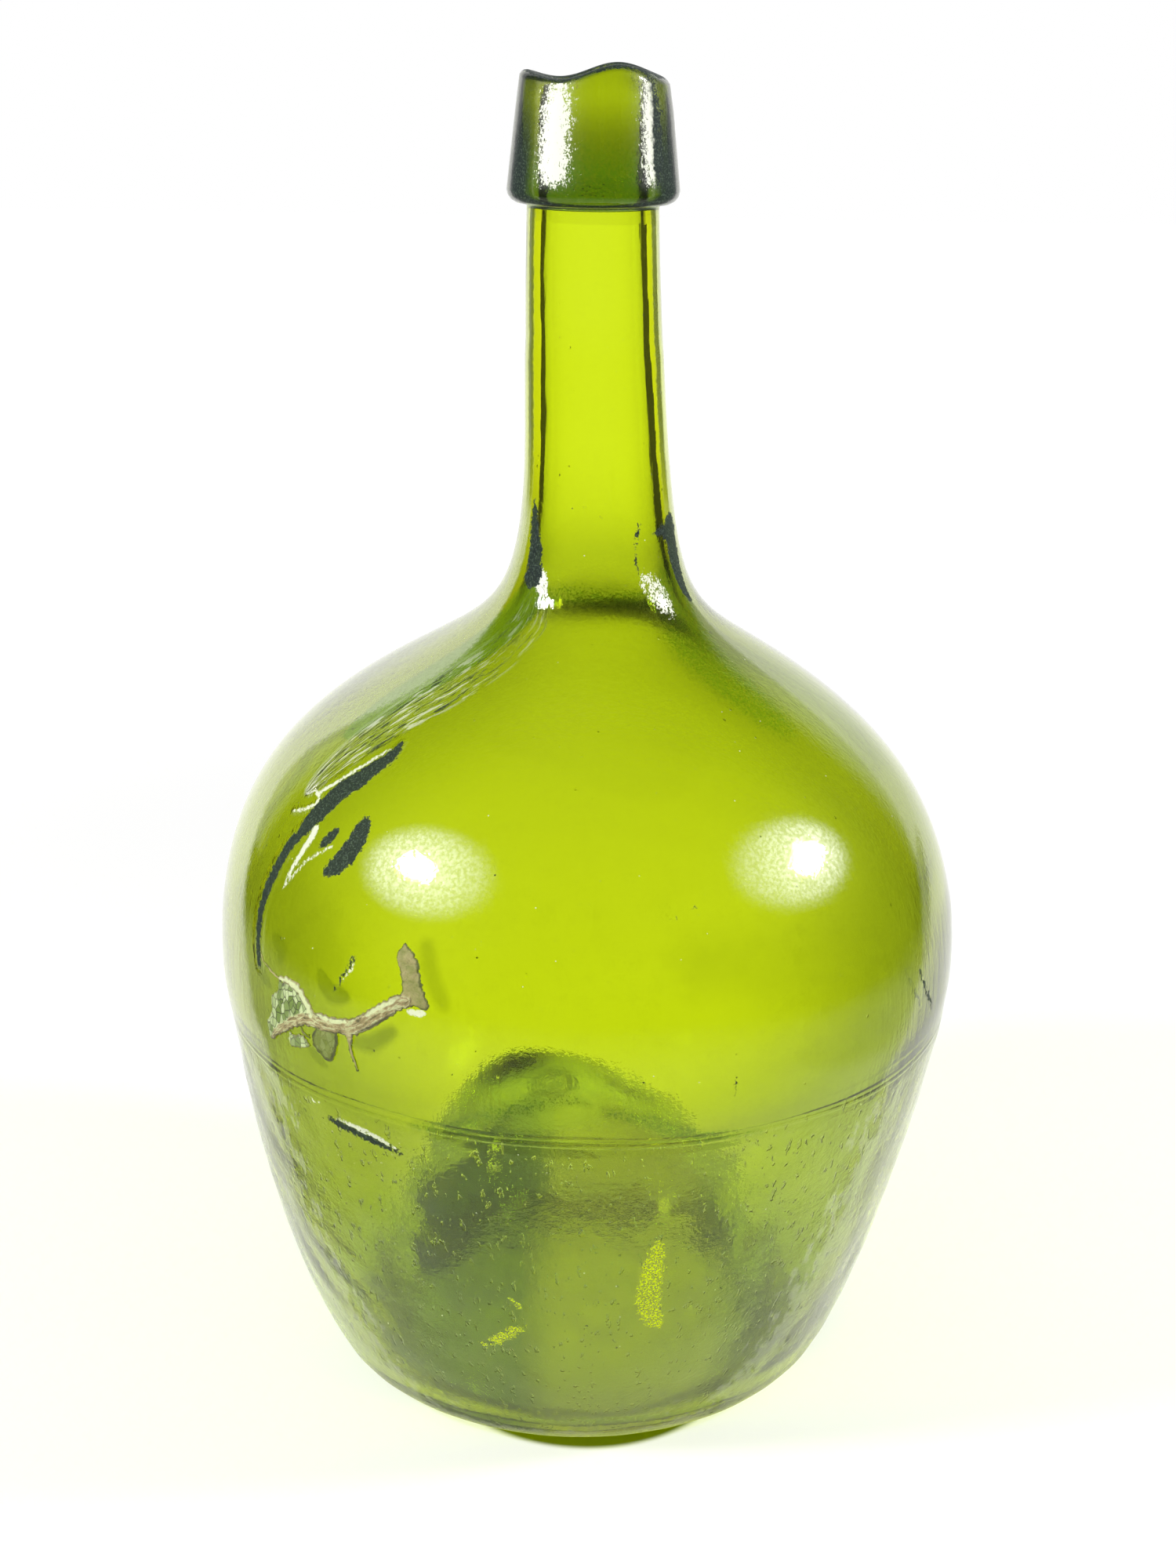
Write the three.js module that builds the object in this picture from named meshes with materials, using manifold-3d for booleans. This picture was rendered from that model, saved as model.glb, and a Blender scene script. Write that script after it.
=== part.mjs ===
// A demijohn of green glass, blown in one with a deep push-up under it and a collar laid round its mouth.
// Millimetres, +Z up. The bottle rests on z = 0 and its widest ring is centred on the Z axis.
// The front is -Y, and a fold in the front left of the shoulder holds a patch of stony crust.
import * as THREE from 'three';
import { mergeVertices } from 'three/addons/utils/BufferGeometryUtils.js';
import Module from 'manifold-3d';

// Heights, each counted from the one before
const SEAM_HEIGHT = 115;          // table to the ring that the dip mould left
const BELLY_RISE = 16;            // seam to the widest ring
const SHOULDER_RISE = 83.4;       // widest ring to where the shoulder turns up into the neck
const NECK_ROOT_RISE = 89;        // from there to the straight part of the neck
const NECK_RISE = 40.6;           // straight part, up to the collar
const COLLAR_RISE = 36;           // collar, up to the crest of the rim

// Radii of the outside
const BODY_RADIUS = 109;
const SEAM_INSET = 1.6;           // the body is this much narrower at the seam
const FOOT_RADIUS = 66.4;         // outer edge of the flat ring that the bottle rests on
const SHOULDER_TOP_RADIUS = 57.8; // where the shoulder turns up into the neck
const NECK_ROOT_RADIUS = 19.1;
const NECK_RADIUS = 18;           // at the mouth
const COLLAR_RADIUS = 23.5;
const COLLAR_TOP_RADIUS = 20.2;

// Slopes of the outside, in degrees
const HEEL_TURN = 64.4;           // how far the heel has turned up where the side begins
const SEAM_SLOPE = 8.8;           // from upright, at the seam
const SHOULDER_SLOPE = 58;        // from upright, at the top of the shoulder

// How far each curve holds the direction of its two ends, as a share of the straight line between them
const SIDE_HOLD = [0.28, 0.39];
const BELLY_HOLD = [0.43, 0.4];
const SHOULDER_HOLD = [0.42, 0.4];
const NECK_ROOT_HOLD = [0.4, 0.75];
const KICK_HOLD = [0.42, 0.15];

// Glass thickness
const FOOT_WALL = 8;              // at the heel and at the foot of the push-up
const BODY_WALL = 6;
const NECK_WALL = 5.2;
const KICK_WALL = 14;             // at the top of the push-up

// Foot and push-up
const VALLEY_RADIUS = 6;          // rounding of the gutter inside, between the push-up and the side
const KICK_EDGE_RADIUS = 6;       // rounding between the resting ring and the push-up
const KICK_HEIGHT = 74;           // table to the top of the hollow underneath
const KICK_LEAN = -10;            // the top of the push-up stands off centre in X

// The bottle was blown by hand, so its middle wanders in X as it rises
const FOOT_SWAY = -1.3;
const FOOT_SWAY_HEIGHT = 50;      // the foot's own middle is upright to this height
const SHOULDER_SWAY = -0.9;
const NECK_ROOT_SWAY = 1.6;
const MOUTH_SWAY = -1.2;
const SHOULDER_SWAY_SHARE = 0.65; // how far up the shoulder its sway is full
const NECK_ROOT_SWAY_SHARE = 0.29; // and how far up the root of the neck

// Seam ring, a fine raised line
const SEAM_PROUD = 0.5;
const SEAM_WIDTH = 2.4;

// Collar
const LIP_RISE = 12;              // how far the collar reaches past the end of the neck
const COLLAR_CORNER = 3.5;        // rounding under the collar
const RIM_OUTER_ROUND = 3.2;
const RIM_INNER_ROUND = 3;
const RIM_DROP = 3.8;             // crest of the wavy rim to its dip
const RIM_CREST_X = 6.5;
const RIM_DIP_X = -9.5;
const FIT_CLEARANCE = 0.3;        // all round a piece that is bedded in another

// Stony crust in the fold, as an outline on a plane that touches the shoulder
const FOLD_AZIMUTH = -34;         // degrees from the front towards +X
const FOLD_RISE = 32;             // seam to the middle of the fold
const FOLD_TILT = 8;              // the plane leans back from upright, in degrees
const CRUST_DEPTH = 1.6;          // how far the crust is bedded in the glass
const CRUST_PROUD = 0.6;
const CRUST_REACH = 14;           // the cutting prism reaches this far in and out
const CRUST_OUTLINE = [           // right, up
  [11.3, 16.8], [12.8, 19.2], [15.8, 17.4], [18.9, 10.7], [21.8, 3.8], [19.9, 2.6], [11.9, -1.2], [7.2, -5.4],
  [0.1, -10.3], [-3.2, -9.4], [-8.8, -10.6], [-13.3, -10.6], [-19.8, -12.6], [-28.8, -17], [-30.4, -14.6],
  [-26.7, -11.2], [-21.4, -7.9], [-16.2, -7], [-8.9, -7.2], [-3.2, -6], [4.5, -1.2], [11.4, 4.4], [14.6, 7.6],
  [13.1, 12.3],
];

// Open blister under the seam, a lens pressed into the surface
const BLISTER_AZIMUTH = -33.5;
const BLISTER_DROP = 7.7;         // below the seam
const BLISTER_SIZE = [24, 4.4, 2.6];
const BLISTER_TILT = -7.6;        // turned in the surface, in degrees

// Fineness of the round shapes, the first round the axis and the others along the profile
const SEGMENTS = 40;
const ARC_STEPS = 4;
const HEEL_STEPS = 5;
const SIDE_STEPS = 7;
const BELLY_STEPS = 2;
const SHOULDER_STEPS = 10;
const NECK_ROOT_STEPS = 11;
const NECK_STEPS = 2;
const KICK_STEPS = 9;
const VALLEY_STEPS = 7;
const BLISTER_SIDES = [14, 8];     // round it and from end to end
const PLACING_STEPS = 40;         // only for finding the surface at a height
const SHARPEST_CORNER = 0.5;      // cosine of half a turn, past which a grown corner loses its mitre

const { CubicBezierCurve, EllipseCurve, LineCurve, Matrix4, Shape, Vector2 } = THREE;
const radians = THREE.MathUtils.degToRad;

// Heights and radii that follow from the driving ones
const HEEL_RADIUS = FOOT_WALL + VALLEY_RADIUS;
const KICK_FOOT_RADIUS = FOOT_RADIUS - HEEL_RADIUS;
const WIDEST_HEIGHT = SEAM_HEIGHT + BELLY_RISE;
const SHOULDER_TOP_HEIGHT = WIDEST_HEIGHT + SHOULDER_RISE;
const NECK_START_HEIGHT = SHOULDER_TOP_HEIGHT + NECK_ROOT_RISE;
const COLLAR_HEIGHT = NECK_START_HEIGHT + NECK_RISE;
const RIM_HEIGHT = COLLAR_HEIGHT + COLLAR_RISE;
const NECK_END_HEIGHT = RIM_HEIGHT - LIP_RISE;
const MOUTH_RADIUS = NECK_RADIUS - NECK_WALL;
const SEAM_RADIUS = BODY_RADIUS - SEAM_INSET;

// Sideways shift of the bottle's middle at a height, easing from each station to the next
const SWAY_STATIONS = [
  [0, FOOT_SWAY],
  [FOOT_SWAY_HEIGHT, FOOT_SWAY],
  [WIDEST_HEIGHT, 0],
  [WIDEST_HEIGHT + SHOULDER_RISE * SHOULDER_SWAY_SHARE, SHOULDER_SWAY],
  [SHOULDER_TOP_HEIGHT + NECK_ROOT_RISE * NECK_ROOT_SWAY_SHARE, NECK_ROOT_SWAY],
  [COLLAR_HEIGHT, MOUTH_SWAY],
];

function sway(z) {
  const above = SWAY_STATIONS.findIndex(([height]) => height > z);
  if (above === -1) return MOUTH_SWAY;
  const [lowZ, lowX] = SWAY_STATIONS[above - 1];
  const [highZ, highX] = SWAY_STATIONS[above];
  return lowX + (highX - lowX) * THREE.MathUtils.smoothstep(z, lowZ, highZ);
}

// Sideways shift of the push-up, which leans more towards its top
function kickSway(z) {
  return FOOT_SWAY + KICK_LEAN * (z / KICK_HEIGHT) ** 3;
}

// A curve of the profile between two points, leaving and arriving in the given directions
function curveBetween(start, startDirection, end, endDirection, hold) {
  const span = start.distanceTo(end);
  const first = start.clone().addScaledVector(startDirection, span * hold[0]);
  const second = end.clone().addScaledVector(endDirection, -span * hold[1]);
  return new CubicBezierCurve(start, first, second, end);
}

// Points along a curve, moved to its left by a wall that goes from one thickness to another
function pointsAlong(curve, steps, wallStart = 0, wallEnd = wallStart) {
  return Array.from({ length: steps + 1 }, (_, i) => {
    const t = i / steps;
    const tangent = curve.getTangent(t);
    const wall = THREE.MathUtils.lerp(wallStart, wallEnd, t);
    return curve.getPoint(t).add(new Vector2(-tangent.y * wall, tangent.x * wall));
  });
}

function arc(x, y, radius, from, to) {
  return new EllipseCurve(x, y, radius, radius, radians(from), radians(to), to < from);
}

// Direction in the profile, turned from upright towards the outside
function leaning(degrees) {
  return new Vector2(Math.sin(radians(degrees)), Math.cos(radians(degrees)));
}

// Outside of the bottle from the heel to the mouth, radius against height
const heel = arc(FOOT_RADIUS, HEEL_RADIUS, HEEL_RADIUS, -90, HEEL_TURN - 90);
const heelEnd = heel.getPoint(1);
const seamPoint = new Vector2(SEAM_RADIUS, SEAM_HEIGHT);
const widestPoint = new Vector2(BODY_RADIUS, WIDEST_HEIGHT);
const shoulderPoint = new Vector2(SHOULDER_TOP_RADIUS, SHOULDER_TOP_HEIGHT);
const neckPoint = new Vector2(NECK_ROOT_RADIUS, NECK_START_HEIGHT);
const collarPoint = new Vector2(NECK_RADIUS, COLLAR_HEIGHT);
const neckDirection = collarPoint.clone().sub(neckPoint).normalize();
const side = curveBetween(heelEnd, leaning(90 - HEEL_TURN), seamPoint, leaning(SEAM_SLOPE), SIDE_HOLD);
const belly = curveBetween(seamPoint, leaning(SEAM_SLOPE), widestPoint, leaning(0), BELLY_HOLD);
const shoulder = curveBetween(widestPoint, leaning(0), shoulderPoint, leaning(-SHOULDER_SLOPE), SHOULDER_HOLD);
const neckRoot = curveBetween(shoulderPoint, leaning(-SHOULDER_SLOPE), neckPoint, neckDirection, NECK_ROOT_HOLD);
const neck = new LineCurve(neckPoint, collarPoint);
const mouth = new LineCurve(collarPoint, new Vector2(NECK_RADIUS, NECK_END_HEIGHT));

// Underside of the push-up, from the axis down to its foot
const kick = curveBetween(
  new Vector2(0, KICK_HEIGHT), leaning(90), new Vector2(KICK_FOOT_RADIUS, HEEL_RADIUS), leaning(180),
  [...KICK_HOLD].reverse());

// Side and belly to the shoulder's top, at a depth under the surface
function sidePoints(depth, wall = depth) {
  return [
    ...pointsAlong(side, SIDE_STEPS, wall, depth),
    ...pointsAlong(belly, BELLY_STEPS, depth).slice(1),
    ...pointsAlong(shoulder, SHOULDER_STEPS, depth).slice(1),
  ];
}

// Revolves a closed profile round Z, and shifts each ring by what the profile's points say
function revolve(profile, shifts) {
  const geometry = new THREE.LatheGeometry(profile, SEGMENTS).rotateX(Math.PI / 2);
  const position = geometry.attributes.position;
  for (let i = 0; i < position.count; i += 1) {
    position.setX(i, position.getX(i) + shifts[i % profile.length]);
  }
  return geometry;
}

function solidFrom(wasm, geometry) {
  const bare = geometry.clone();
  bare.deleteAttribute('normal');
  bare.deleteAttribute('uv');
  const merged = mergeVertices(bare);
  const index = merged.index ? merged.index.array : merged.attributes.position.array.map((_, i) => i);
  const triangles = [];
  for (let i = 0; i < index.length; i += 3) {
    const [a, b, c] = index.slice(i, i + 3);
    if (a !== b && b !== c && c !== a) triangles.push(a, b, c);
  }
  return new wasm.Manifold(new wasm.Mesh({
    numProp: 3,
    vertProperties: new Float32Array(merged.attributes.position.array),
    triVerts: new Uint32Array(triangles),
  }));
}

function geometryFrom(solid) {
  const mesh = solid.getMesh();
  const geometry = new THREE.BufferGeometry();
  geometry.setAttribute('position', new THREE.BufferAttribute(new Float32Array(mesh.vertProperties), 3));
  geometry.setIndex(new THREE.BufferAttribute(new Uint32Array(mesh.triVerts), 1));
  geometry.computeVertexNormals();
  return geometry;
}

// Blown body: underside, resting ring, outside with its seam, then the inside back to the axis
function bodyGeometry() {
  const seat = KICK_FOOT_RADIUS + KICK_EDGE_RADIUS;
  const underside = [
    ...pointsAlong(kick, KICK_STEPS),
    ...pointsAlong(arc(seat, KICK_EDGE_RADIUS, KICK_EDGE_RADIUS, 180, 270), ARC_STEPS),
  ];
  const seamAt = (rise, proud) => new Vector2(SEAM_RADIUS + proud, SEAM_HEIGHT + rise);
  const outside = [
    ...pointsAlong(heel, HEEL_STEPS),
    ...pointsAlong(side, SIDE_STEPS).slice(1, -1),
    seamAt(-SEAM_WIDTH / 2, 0),
    seamAt(0, SEAM_PROUD),
    seamAt(SEAM_WIDTH / 2, SEAM_WIDTH / 2 * Math.tan(radians(SEAM_SLOPE))),
    ...pointsAlong(belly, BELLY_STEPS).slice(1),
    ...pointsAlong(shoulder, SHOULDER_STEPS).slice(1),
    ...pointsAlong(neckRoot, NECK_ROOT_STEPS).slice(1),
    ...pointsAlong(neck, NECK_STEPS).slice(1),
    ...pointsAlong(mouth, NECK_STEPS).slice(1),
  ];
  const inside = [
    ...pointsAlong(arc(FOOT_RADIUS, HEEL_RADIUS, VALLEY_RADIUS, 180, 270 + HEEL_TURN), VALLEY_STEPS),
    ...sidePoints(BODY_WALL, FOOT_WALL).slice(1),
    ...pointsAlong(neckRoot, NECK_ROOT_STEPS, BODY_WALL, NECK_WALL).slice(1),
    ...pointsAlong(neck, NECK_STEPS, NECK_WALL).slice(1),
    ...pointsAlong(mouth, NECK_STEPS, NECK_WALL).slice(1),
  ].reverse();
  const dome = pointsAlong(kick, KICK_STEPS, KICK_WALL, FOOT_WALL).reverse().slice(1);
  dome.at(-1).x = 0;
  const profile = [...underside, ...outside, ...inside, ...dome];
  const firstWall = underside.length;
  const firstDome = profile.length - dome.length;
  const shifts = profile.map(({ y }, i) => (i < firstWall || i >= firstDome ? kickSway(y) : sway(y)));
  return revolve(profile, shifts);
}

// Solid filled up to a depth under the outside of the side, belly and shoulder
function coreGeometry(depth) {
  const wall = sidePoints(depth);
  const profile = [
    new Vector2(0, wall[0].y),
    ...wall,
    new Vector2(0, wall.at(-1).y),
  ];
  return revolve(profile, profile.map(({ y }) => sway(y)));
}

// An outline with each side moved out by a distance, for an outline that runs clockwise
function grownOutline(outline, distance) {
  const corners = outline.map(([x, y]) => new Vector2(x, y));
  return corners.map((corner, i) => {
    const before = corners.at(i - 1);
    const after = corners[(i + 1) % corners.length];
    const inDirection = corner.clone().sub(before).normalize();
    const outDirection = after.clone().sub(corner).normalize();
    const inNormal = new Vector2(-inDirection.y, inDirection.x);
    const outNormal = new Vector2(-outDirection.y, outDirection.x);
    const bisector = inNormal.add(outNormal).normalize();
    const share = Math.max(bisector.dot(outNormal), SHARPEST_CORNER);
    return corner.clone().addScaledVector(bisector, distance / share);
  });
}

// Places something drawn on the touching plane at an azimuth and a height on the side of the bottle
function placeOnSide(azimuth, height, tilt, turn) {
  const outside = [side, belly, shoulder].flatMap((curve) => pointsAlong(curve, PLACING_STEPS));
  const radius = outside.find(({ y }) => y >= height).x;
  return new Matrix4()
    .makeTranslation(sway(height), 0, height)
    .multiply(new Matrix4().makeRotationZ(radians(azimuth)))
    .multiply(new Matrix4().makeTranslation(0, -radius, 0))
    .multiply(new Matrix4().makeRotationX(radians(90 - tilt)))
    .multiply(new Matrix4().makeRotationZ(radians(turn)));
}

// Prism that cuts the crust, or its bed, through the shoulder
function foldPrism(clearance) {
  const outline = new Shape(grownOutline(CRUST_OUTLINE, clearance));
  const geometry = new THREE.ExtrudeGeometry(outline, { depth: 2 * CRUST_REACH, bevelEnabled: false });
  geometry.translate(0, 0, -CRUST_REACH);
  return geometry.applyMatrix4(placeOnSide(FOLD_AZIMUTH, SEAM_HEIGHT + FOLD_RISE, FOLD_TILT, 0));
}

function blisterGeometry() {
  const [length, height, depth] = BLISTER_SIZE;
  const geometry = new THREE.SphereGeometry(1, ...BLISTER_SIDES).scale(length / 2, height / 2, depth / 2);
  const place = placeOnSide(BLISTER_AZIMUTH, SEAM_HEIGHT - BLISTER_DROP, -SEAM_SLOPE, BLISTER_TILT);
  return geometry.applyMatrix4(place);
}

// Collar: a ring over the end of the neck, with a bore that goes on from the neck's
function collarGeometry() {
  const socketRadius = NECK_RADIUS + FIT_CLEARANCE;
  const ledge = NECK_END_HEIGHT + FIT_CLEARANCE;
  const outerRim = arc(COLLAR_TOP_RADIUS - RIM_OUTER_ROUND, RIM_HEIGHT - RIM_OUTER_ROUND, RIM_OUTER_ROUND, 0, 90);
  const innerRim = arc(MOUTH_RADIUS + RIM_INNER_ROUND, RIM_HEIGHT - RIM_INNER_ROUND, RIM_INNER_ROUND, 90, 180);
  const corner = arc(COLLAR_RADIUS - COLLAR_CORNER, COLLAR_HEIGHT + COLLAR_CORNER, COLLAR_CORNER, -90, 0);
  const profile = [
    new Vector2(socketRadius, ledge),
    new Vector2(socketRadius, COLLAR_HEIGHT),
    ...pointsAlong(corner, ARC_STEPS),
    ...pointsAlong(outerRim, ARC_STEPS),
    ...pointsAlong(innerRim, ARC_STEPS),
    new Vector2(MOUTH_RADIUS, ledge),
    new Vector2(socketRadius, ledge),
  ];
  const geometry = revolve(profile, profile.map(() => 0));
  const position = geometry.attributes.position;
  for (let i = 0; i < position.count; i += 1) {
    const x = position.getX(i);
    const z = position.getZ(i);
    const wave = (1 - Math.cos(Math.PI * (x - RIM_CREST_X) / (RIM_CREST_X - RIM_DIP_X))) / 2;
    const share = THREE.MathUtils.clamp((z - ledge) / (RIM_HEIGHT - ledge), 0, 1);
    position.setZ(i, z - RIM_DROP * wave * share);
    position.setX(i, x + MOUTH_SWAY);
  }
  return geometry;
}

const GLASS = { color: 0x8fae12, roughness: 0.06, metalness: 0, transparent: true, opacity: 0.6 };
const CRUST = { color: 0x9a8f6c, roughness: 0.9, metalness: 0 };

function piece(name, geometry, finish) {
  const mesh = new THREE.Mesh(geometry, new THREE.MeshStandardMaterial(finish));
  mesh.name = name;
  return mesh;
}

const wasm = await Module();
wasm.setup();
const bed = solidFrom(wasm, foldPrism(FIT_CLEARANCE))
  .subtract(solidFrom(wasm, coreGeometry(CRUST_DEPTH + FIT_CLEARANCE)));
const crust = solidFrom(wasm, foldPrism(0))
  .intersect(solidFrom(wasm, coreGeometry(-CRUST_PROUD)))
  .subtract(solidFrom(wasm, coreGeometry(CRUST_DEPTH)));
const body = solidFrom(wasm, bodyGeometry())
  .subtract(bed)
  .subtract(solidFrom(wasm, blisterGeometry()));

const group = new THREE.Group();
group.add(piece('blown_body', geometryFrom(body), GLASS));
group.add(piece('applied_collar', collarGeometry(), GLASS));
group.add(piece('fold_crust', geometryFrom(crust), CRUST));

export default group;
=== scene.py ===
"""Looks of a hand-blown green glass demijohn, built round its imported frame.

The glass is one closed mesh with its real wall, so that it bends, mirrors and takes up light as the
bottle does. Sizes are in millimetres and meshes in metres. The bottle rests on z = 0, and -Y is the
side that faces the camera.
"""
import logging
import math
from dataclasses import dataclass
from enum import Enum
from typing import Callable

import bpy
import numpy as np
from mathutils import Matrix, Vector


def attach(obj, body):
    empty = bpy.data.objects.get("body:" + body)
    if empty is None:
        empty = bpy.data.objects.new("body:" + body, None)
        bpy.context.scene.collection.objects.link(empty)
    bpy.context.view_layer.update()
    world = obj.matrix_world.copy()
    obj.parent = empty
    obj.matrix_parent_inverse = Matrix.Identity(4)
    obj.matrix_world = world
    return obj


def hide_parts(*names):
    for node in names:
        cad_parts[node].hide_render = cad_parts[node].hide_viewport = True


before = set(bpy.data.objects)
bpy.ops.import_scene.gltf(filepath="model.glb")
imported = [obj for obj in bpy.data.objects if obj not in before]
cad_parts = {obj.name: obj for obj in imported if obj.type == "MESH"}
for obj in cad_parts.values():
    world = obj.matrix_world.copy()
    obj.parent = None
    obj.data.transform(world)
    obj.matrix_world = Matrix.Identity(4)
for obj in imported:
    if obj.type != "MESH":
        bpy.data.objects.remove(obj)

MM = 0.001
FULL_TURN = 2 * math.pi
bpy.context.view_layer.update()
log = logging.getLogger("demijohn")

Point = tuple[float, float]
Triple = tuple[float, float, float]
Patch = tuple[float, float, float, float]
Colour = Triple


class Wall(Enum):
    """Which skin of the glass a stretch of the profile makes."""

    UNDERSIDE = "underside"
    OUTSIDE = "outside"
    COLLAR = "collar"
    INSIDE = "inside"


@dataclass(frozen=True)
class Bend:
    """Stretch of the profile as a cubic curve, radius against height.

    It leaves and arrives in two directions, and holds each of them for a share of the straight way.
    """

    start: Vector
    start_way: Vector
    end: Vector
    end_way: Vector
    hold: Point = (1 / 3, 1 / 3)

    def at(self, share: float) -> Vector:
        """Returns the point at a share of the curve."""
        span = (self.end - self.start).length
        first = self.start + self.start_way * span * self.hold[0]
        second = self.end - self.end_way * span * self.hold[1]
        rest = 1 - share
        return (self.start * rest**3 + first * 3 * rest**2 * share
                + second * 3 * rest * share**2 + self.end * share**3)


@dataclass(frozen=True)
class Round:
    """Stretch of the profile as an arc, its angles in degrees from outwards towards up."""

    centre: Vector
    radius: float
    begin: float
    finish: float

    def at(self, share: float) -> Vector:
        """Returns the point at a share of the arc."""
        angle = math.radians(self.begin + (self.finish - self.begin) * share)
        return self.centre + Vector((math.cos(angle), math.sin(angle))) * self.radius


@dataclass(frozen=True)
class Inset:
    """Stretch to the left of another one, by a wall that goes from one thickness to another."""

    along: Bend | Round
    first_wall: float
    last_wall: float

    def at(self, share: float) -> Vector:
        """Returns the point beside the other stretch at a share of it."""
        step = 1e-4
        low, high = max(share - step, 0.0), min(share + step, 1.0)
        way = (self.along.at(high) - self.along.at(low)).normalized()
        wall = self.first_wall + (self.last_wall - self.first_wall) * share
        return self.along.at(share) + Vector((-way.y, way.x)) * wall


@dataclass(frozen=True)
class Backwards:
    """Another stretch, run from its end to its start."""

    along: Bend | Round | Inset

    def at(self, share: float) -> Vector:
        """Returns the other stretch's point at the share that is left."""
        return self.along.at(1 - share)


@dataclass(frozen=True)
class Stretch:
    """One stretch of the closed profile, the rings that it is given and the skin that it makes."""

    curve: Bend | Round | Inset | Backwards
    rings: int
    wall: Wall


def leaning(degrees: float) -> Vector:
    """Returns the direction that leans this far from upright, outwards."""
    return Vector((math.sin(math.radians(degrees)), math.cos(math.radians(degrees))))


def straight(start: Vector, end: Vector) -> Bend:
    """Returns a straight stretch between two points."""
    way = (end - start).normalized()
    return Bend(start, way, end, way)


def ease(value: np.ndarray, low: float, high: float) -> np.ndarray:
    """Returns 0 below low and 1 above high, with a smooth step between."""
    share = np.clip((value - low) / (high - low), 0, 1)
    return share * share * (3 - 2 * share)


@dataclass(frozen=True)
class BottleSizes:
    """Driving sizes of the bottle, the same as its solids'."""

    seam_height: float = 115.0
    belly_rise: float = 16.0
    shoulder_rise: float = 83.4
    neck_root_rise: float = 89.0
    neck_rise: float = 40.6
    collar_rise: float = 36.0
    body_radius: float = 109.0
    seam_inset: float = 1.6
    foot_radius: float = 66.4
    shoulder_top_radius: float = 57.8
    neck_root_radius: float = 19.1
    neck_radius: float = 18.0
    collar_radius: float = 23.5
    collar_top_radius: float = 20.2
    heel_turn: float = 64.4
    seam_slope: float = 8.8
    shoulder_slope: float = 58.0
    foot_wall: float = 8.0
    body_wall: float = 6.0
    neck_wall: float = 5.2
    kick_wall: float = 14.0
    valley_radius: float = 6.0
    kick_edge_radius: float = 6.0
    kick_height: float = 74.0
    kick_lean: float = -10.0
    foot_sway: float = -1.3
    foot_sway_height: float = 50.0
    shoulder_sway: float = -0.9
    neck_root_sway: float = 1.6
    mouth_sway: float = -1.2
    lip_rise: float = 12.0
    collar_corner: float = 3.5
    collar_root: float = 1.0
    rim_outer_round: float = 3.2
    rim_inner_round: float = 3.0
    rim_drop: float = 3.8
    rim_crest_x: float = 6.5
    rim_dip_x: float = -9.5

    @property
    def widest_height(self) -> float:
        """Returns the height of the widest ring."""
        return self.seam_height + self.belly_rise

    @property
    def shoulder_top(self) -> float:
        """Returns the height where the shoulder turns up into the neck."""
        return self.widest_height + self.shoulder_rise

    @property
    def neck_start(self) -> float:
        """Returns the height where the neck becomes straight."""
        return self.shoulder_top + self.neck_root_rise

    @property
    def collar_height(self) -> float:
        """Returns the height of the collar's underside."""
        return self.neck_start + self.neck_rise

    @property
    def rim_height(self) -> float:
        """Returns the height of the rim's crest."""
        return self.collar_height + self.collar_rise

    @property
    def neck_end(self) -> float:
        """Returns the height where the blown neck ends inside the collar."""
        return self.rim_height - self.lip_rise

    @property
    def mouth_radius(self) -> float:
        """Returns the radius of the bore at the mouth."""
        return self.neck_radius - self.neck_wall

    def sway_at(self, height: np.ndarray) -> np.ndarray:
        """Returns how far the bottle's middle stands off its axis in X at each height."""
        stations = [
            (0.0, self.foot_sway),
            (self.foot_sway_height, self.foot_sway),
            (self.widest_height, 0.0),
            (self.widest_height + self.shoulder_rise * 0.65, self.shoulder_sway),
            (self.shoulder_top + self.neck_root_rise * 0.29, self.neck_root_sway),
            (self.collar_height, self.mouth_sway),
        ]
        sway = np.full_like(height, stations[0][1])
        for (low, before), (high, after) in zip(stations, stations[1:]):
            sway += (after - before) * ease(height, low, high)
        return sway

    def kick_sway_at(self, height: np.ndarray) -> np.ndarray:
        """Returns how far the push-up's middle stands off the axis in X at each height."""
        return self.foot_sway + self.kick_lean * (height / self.kick_height) ** 3


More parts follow.
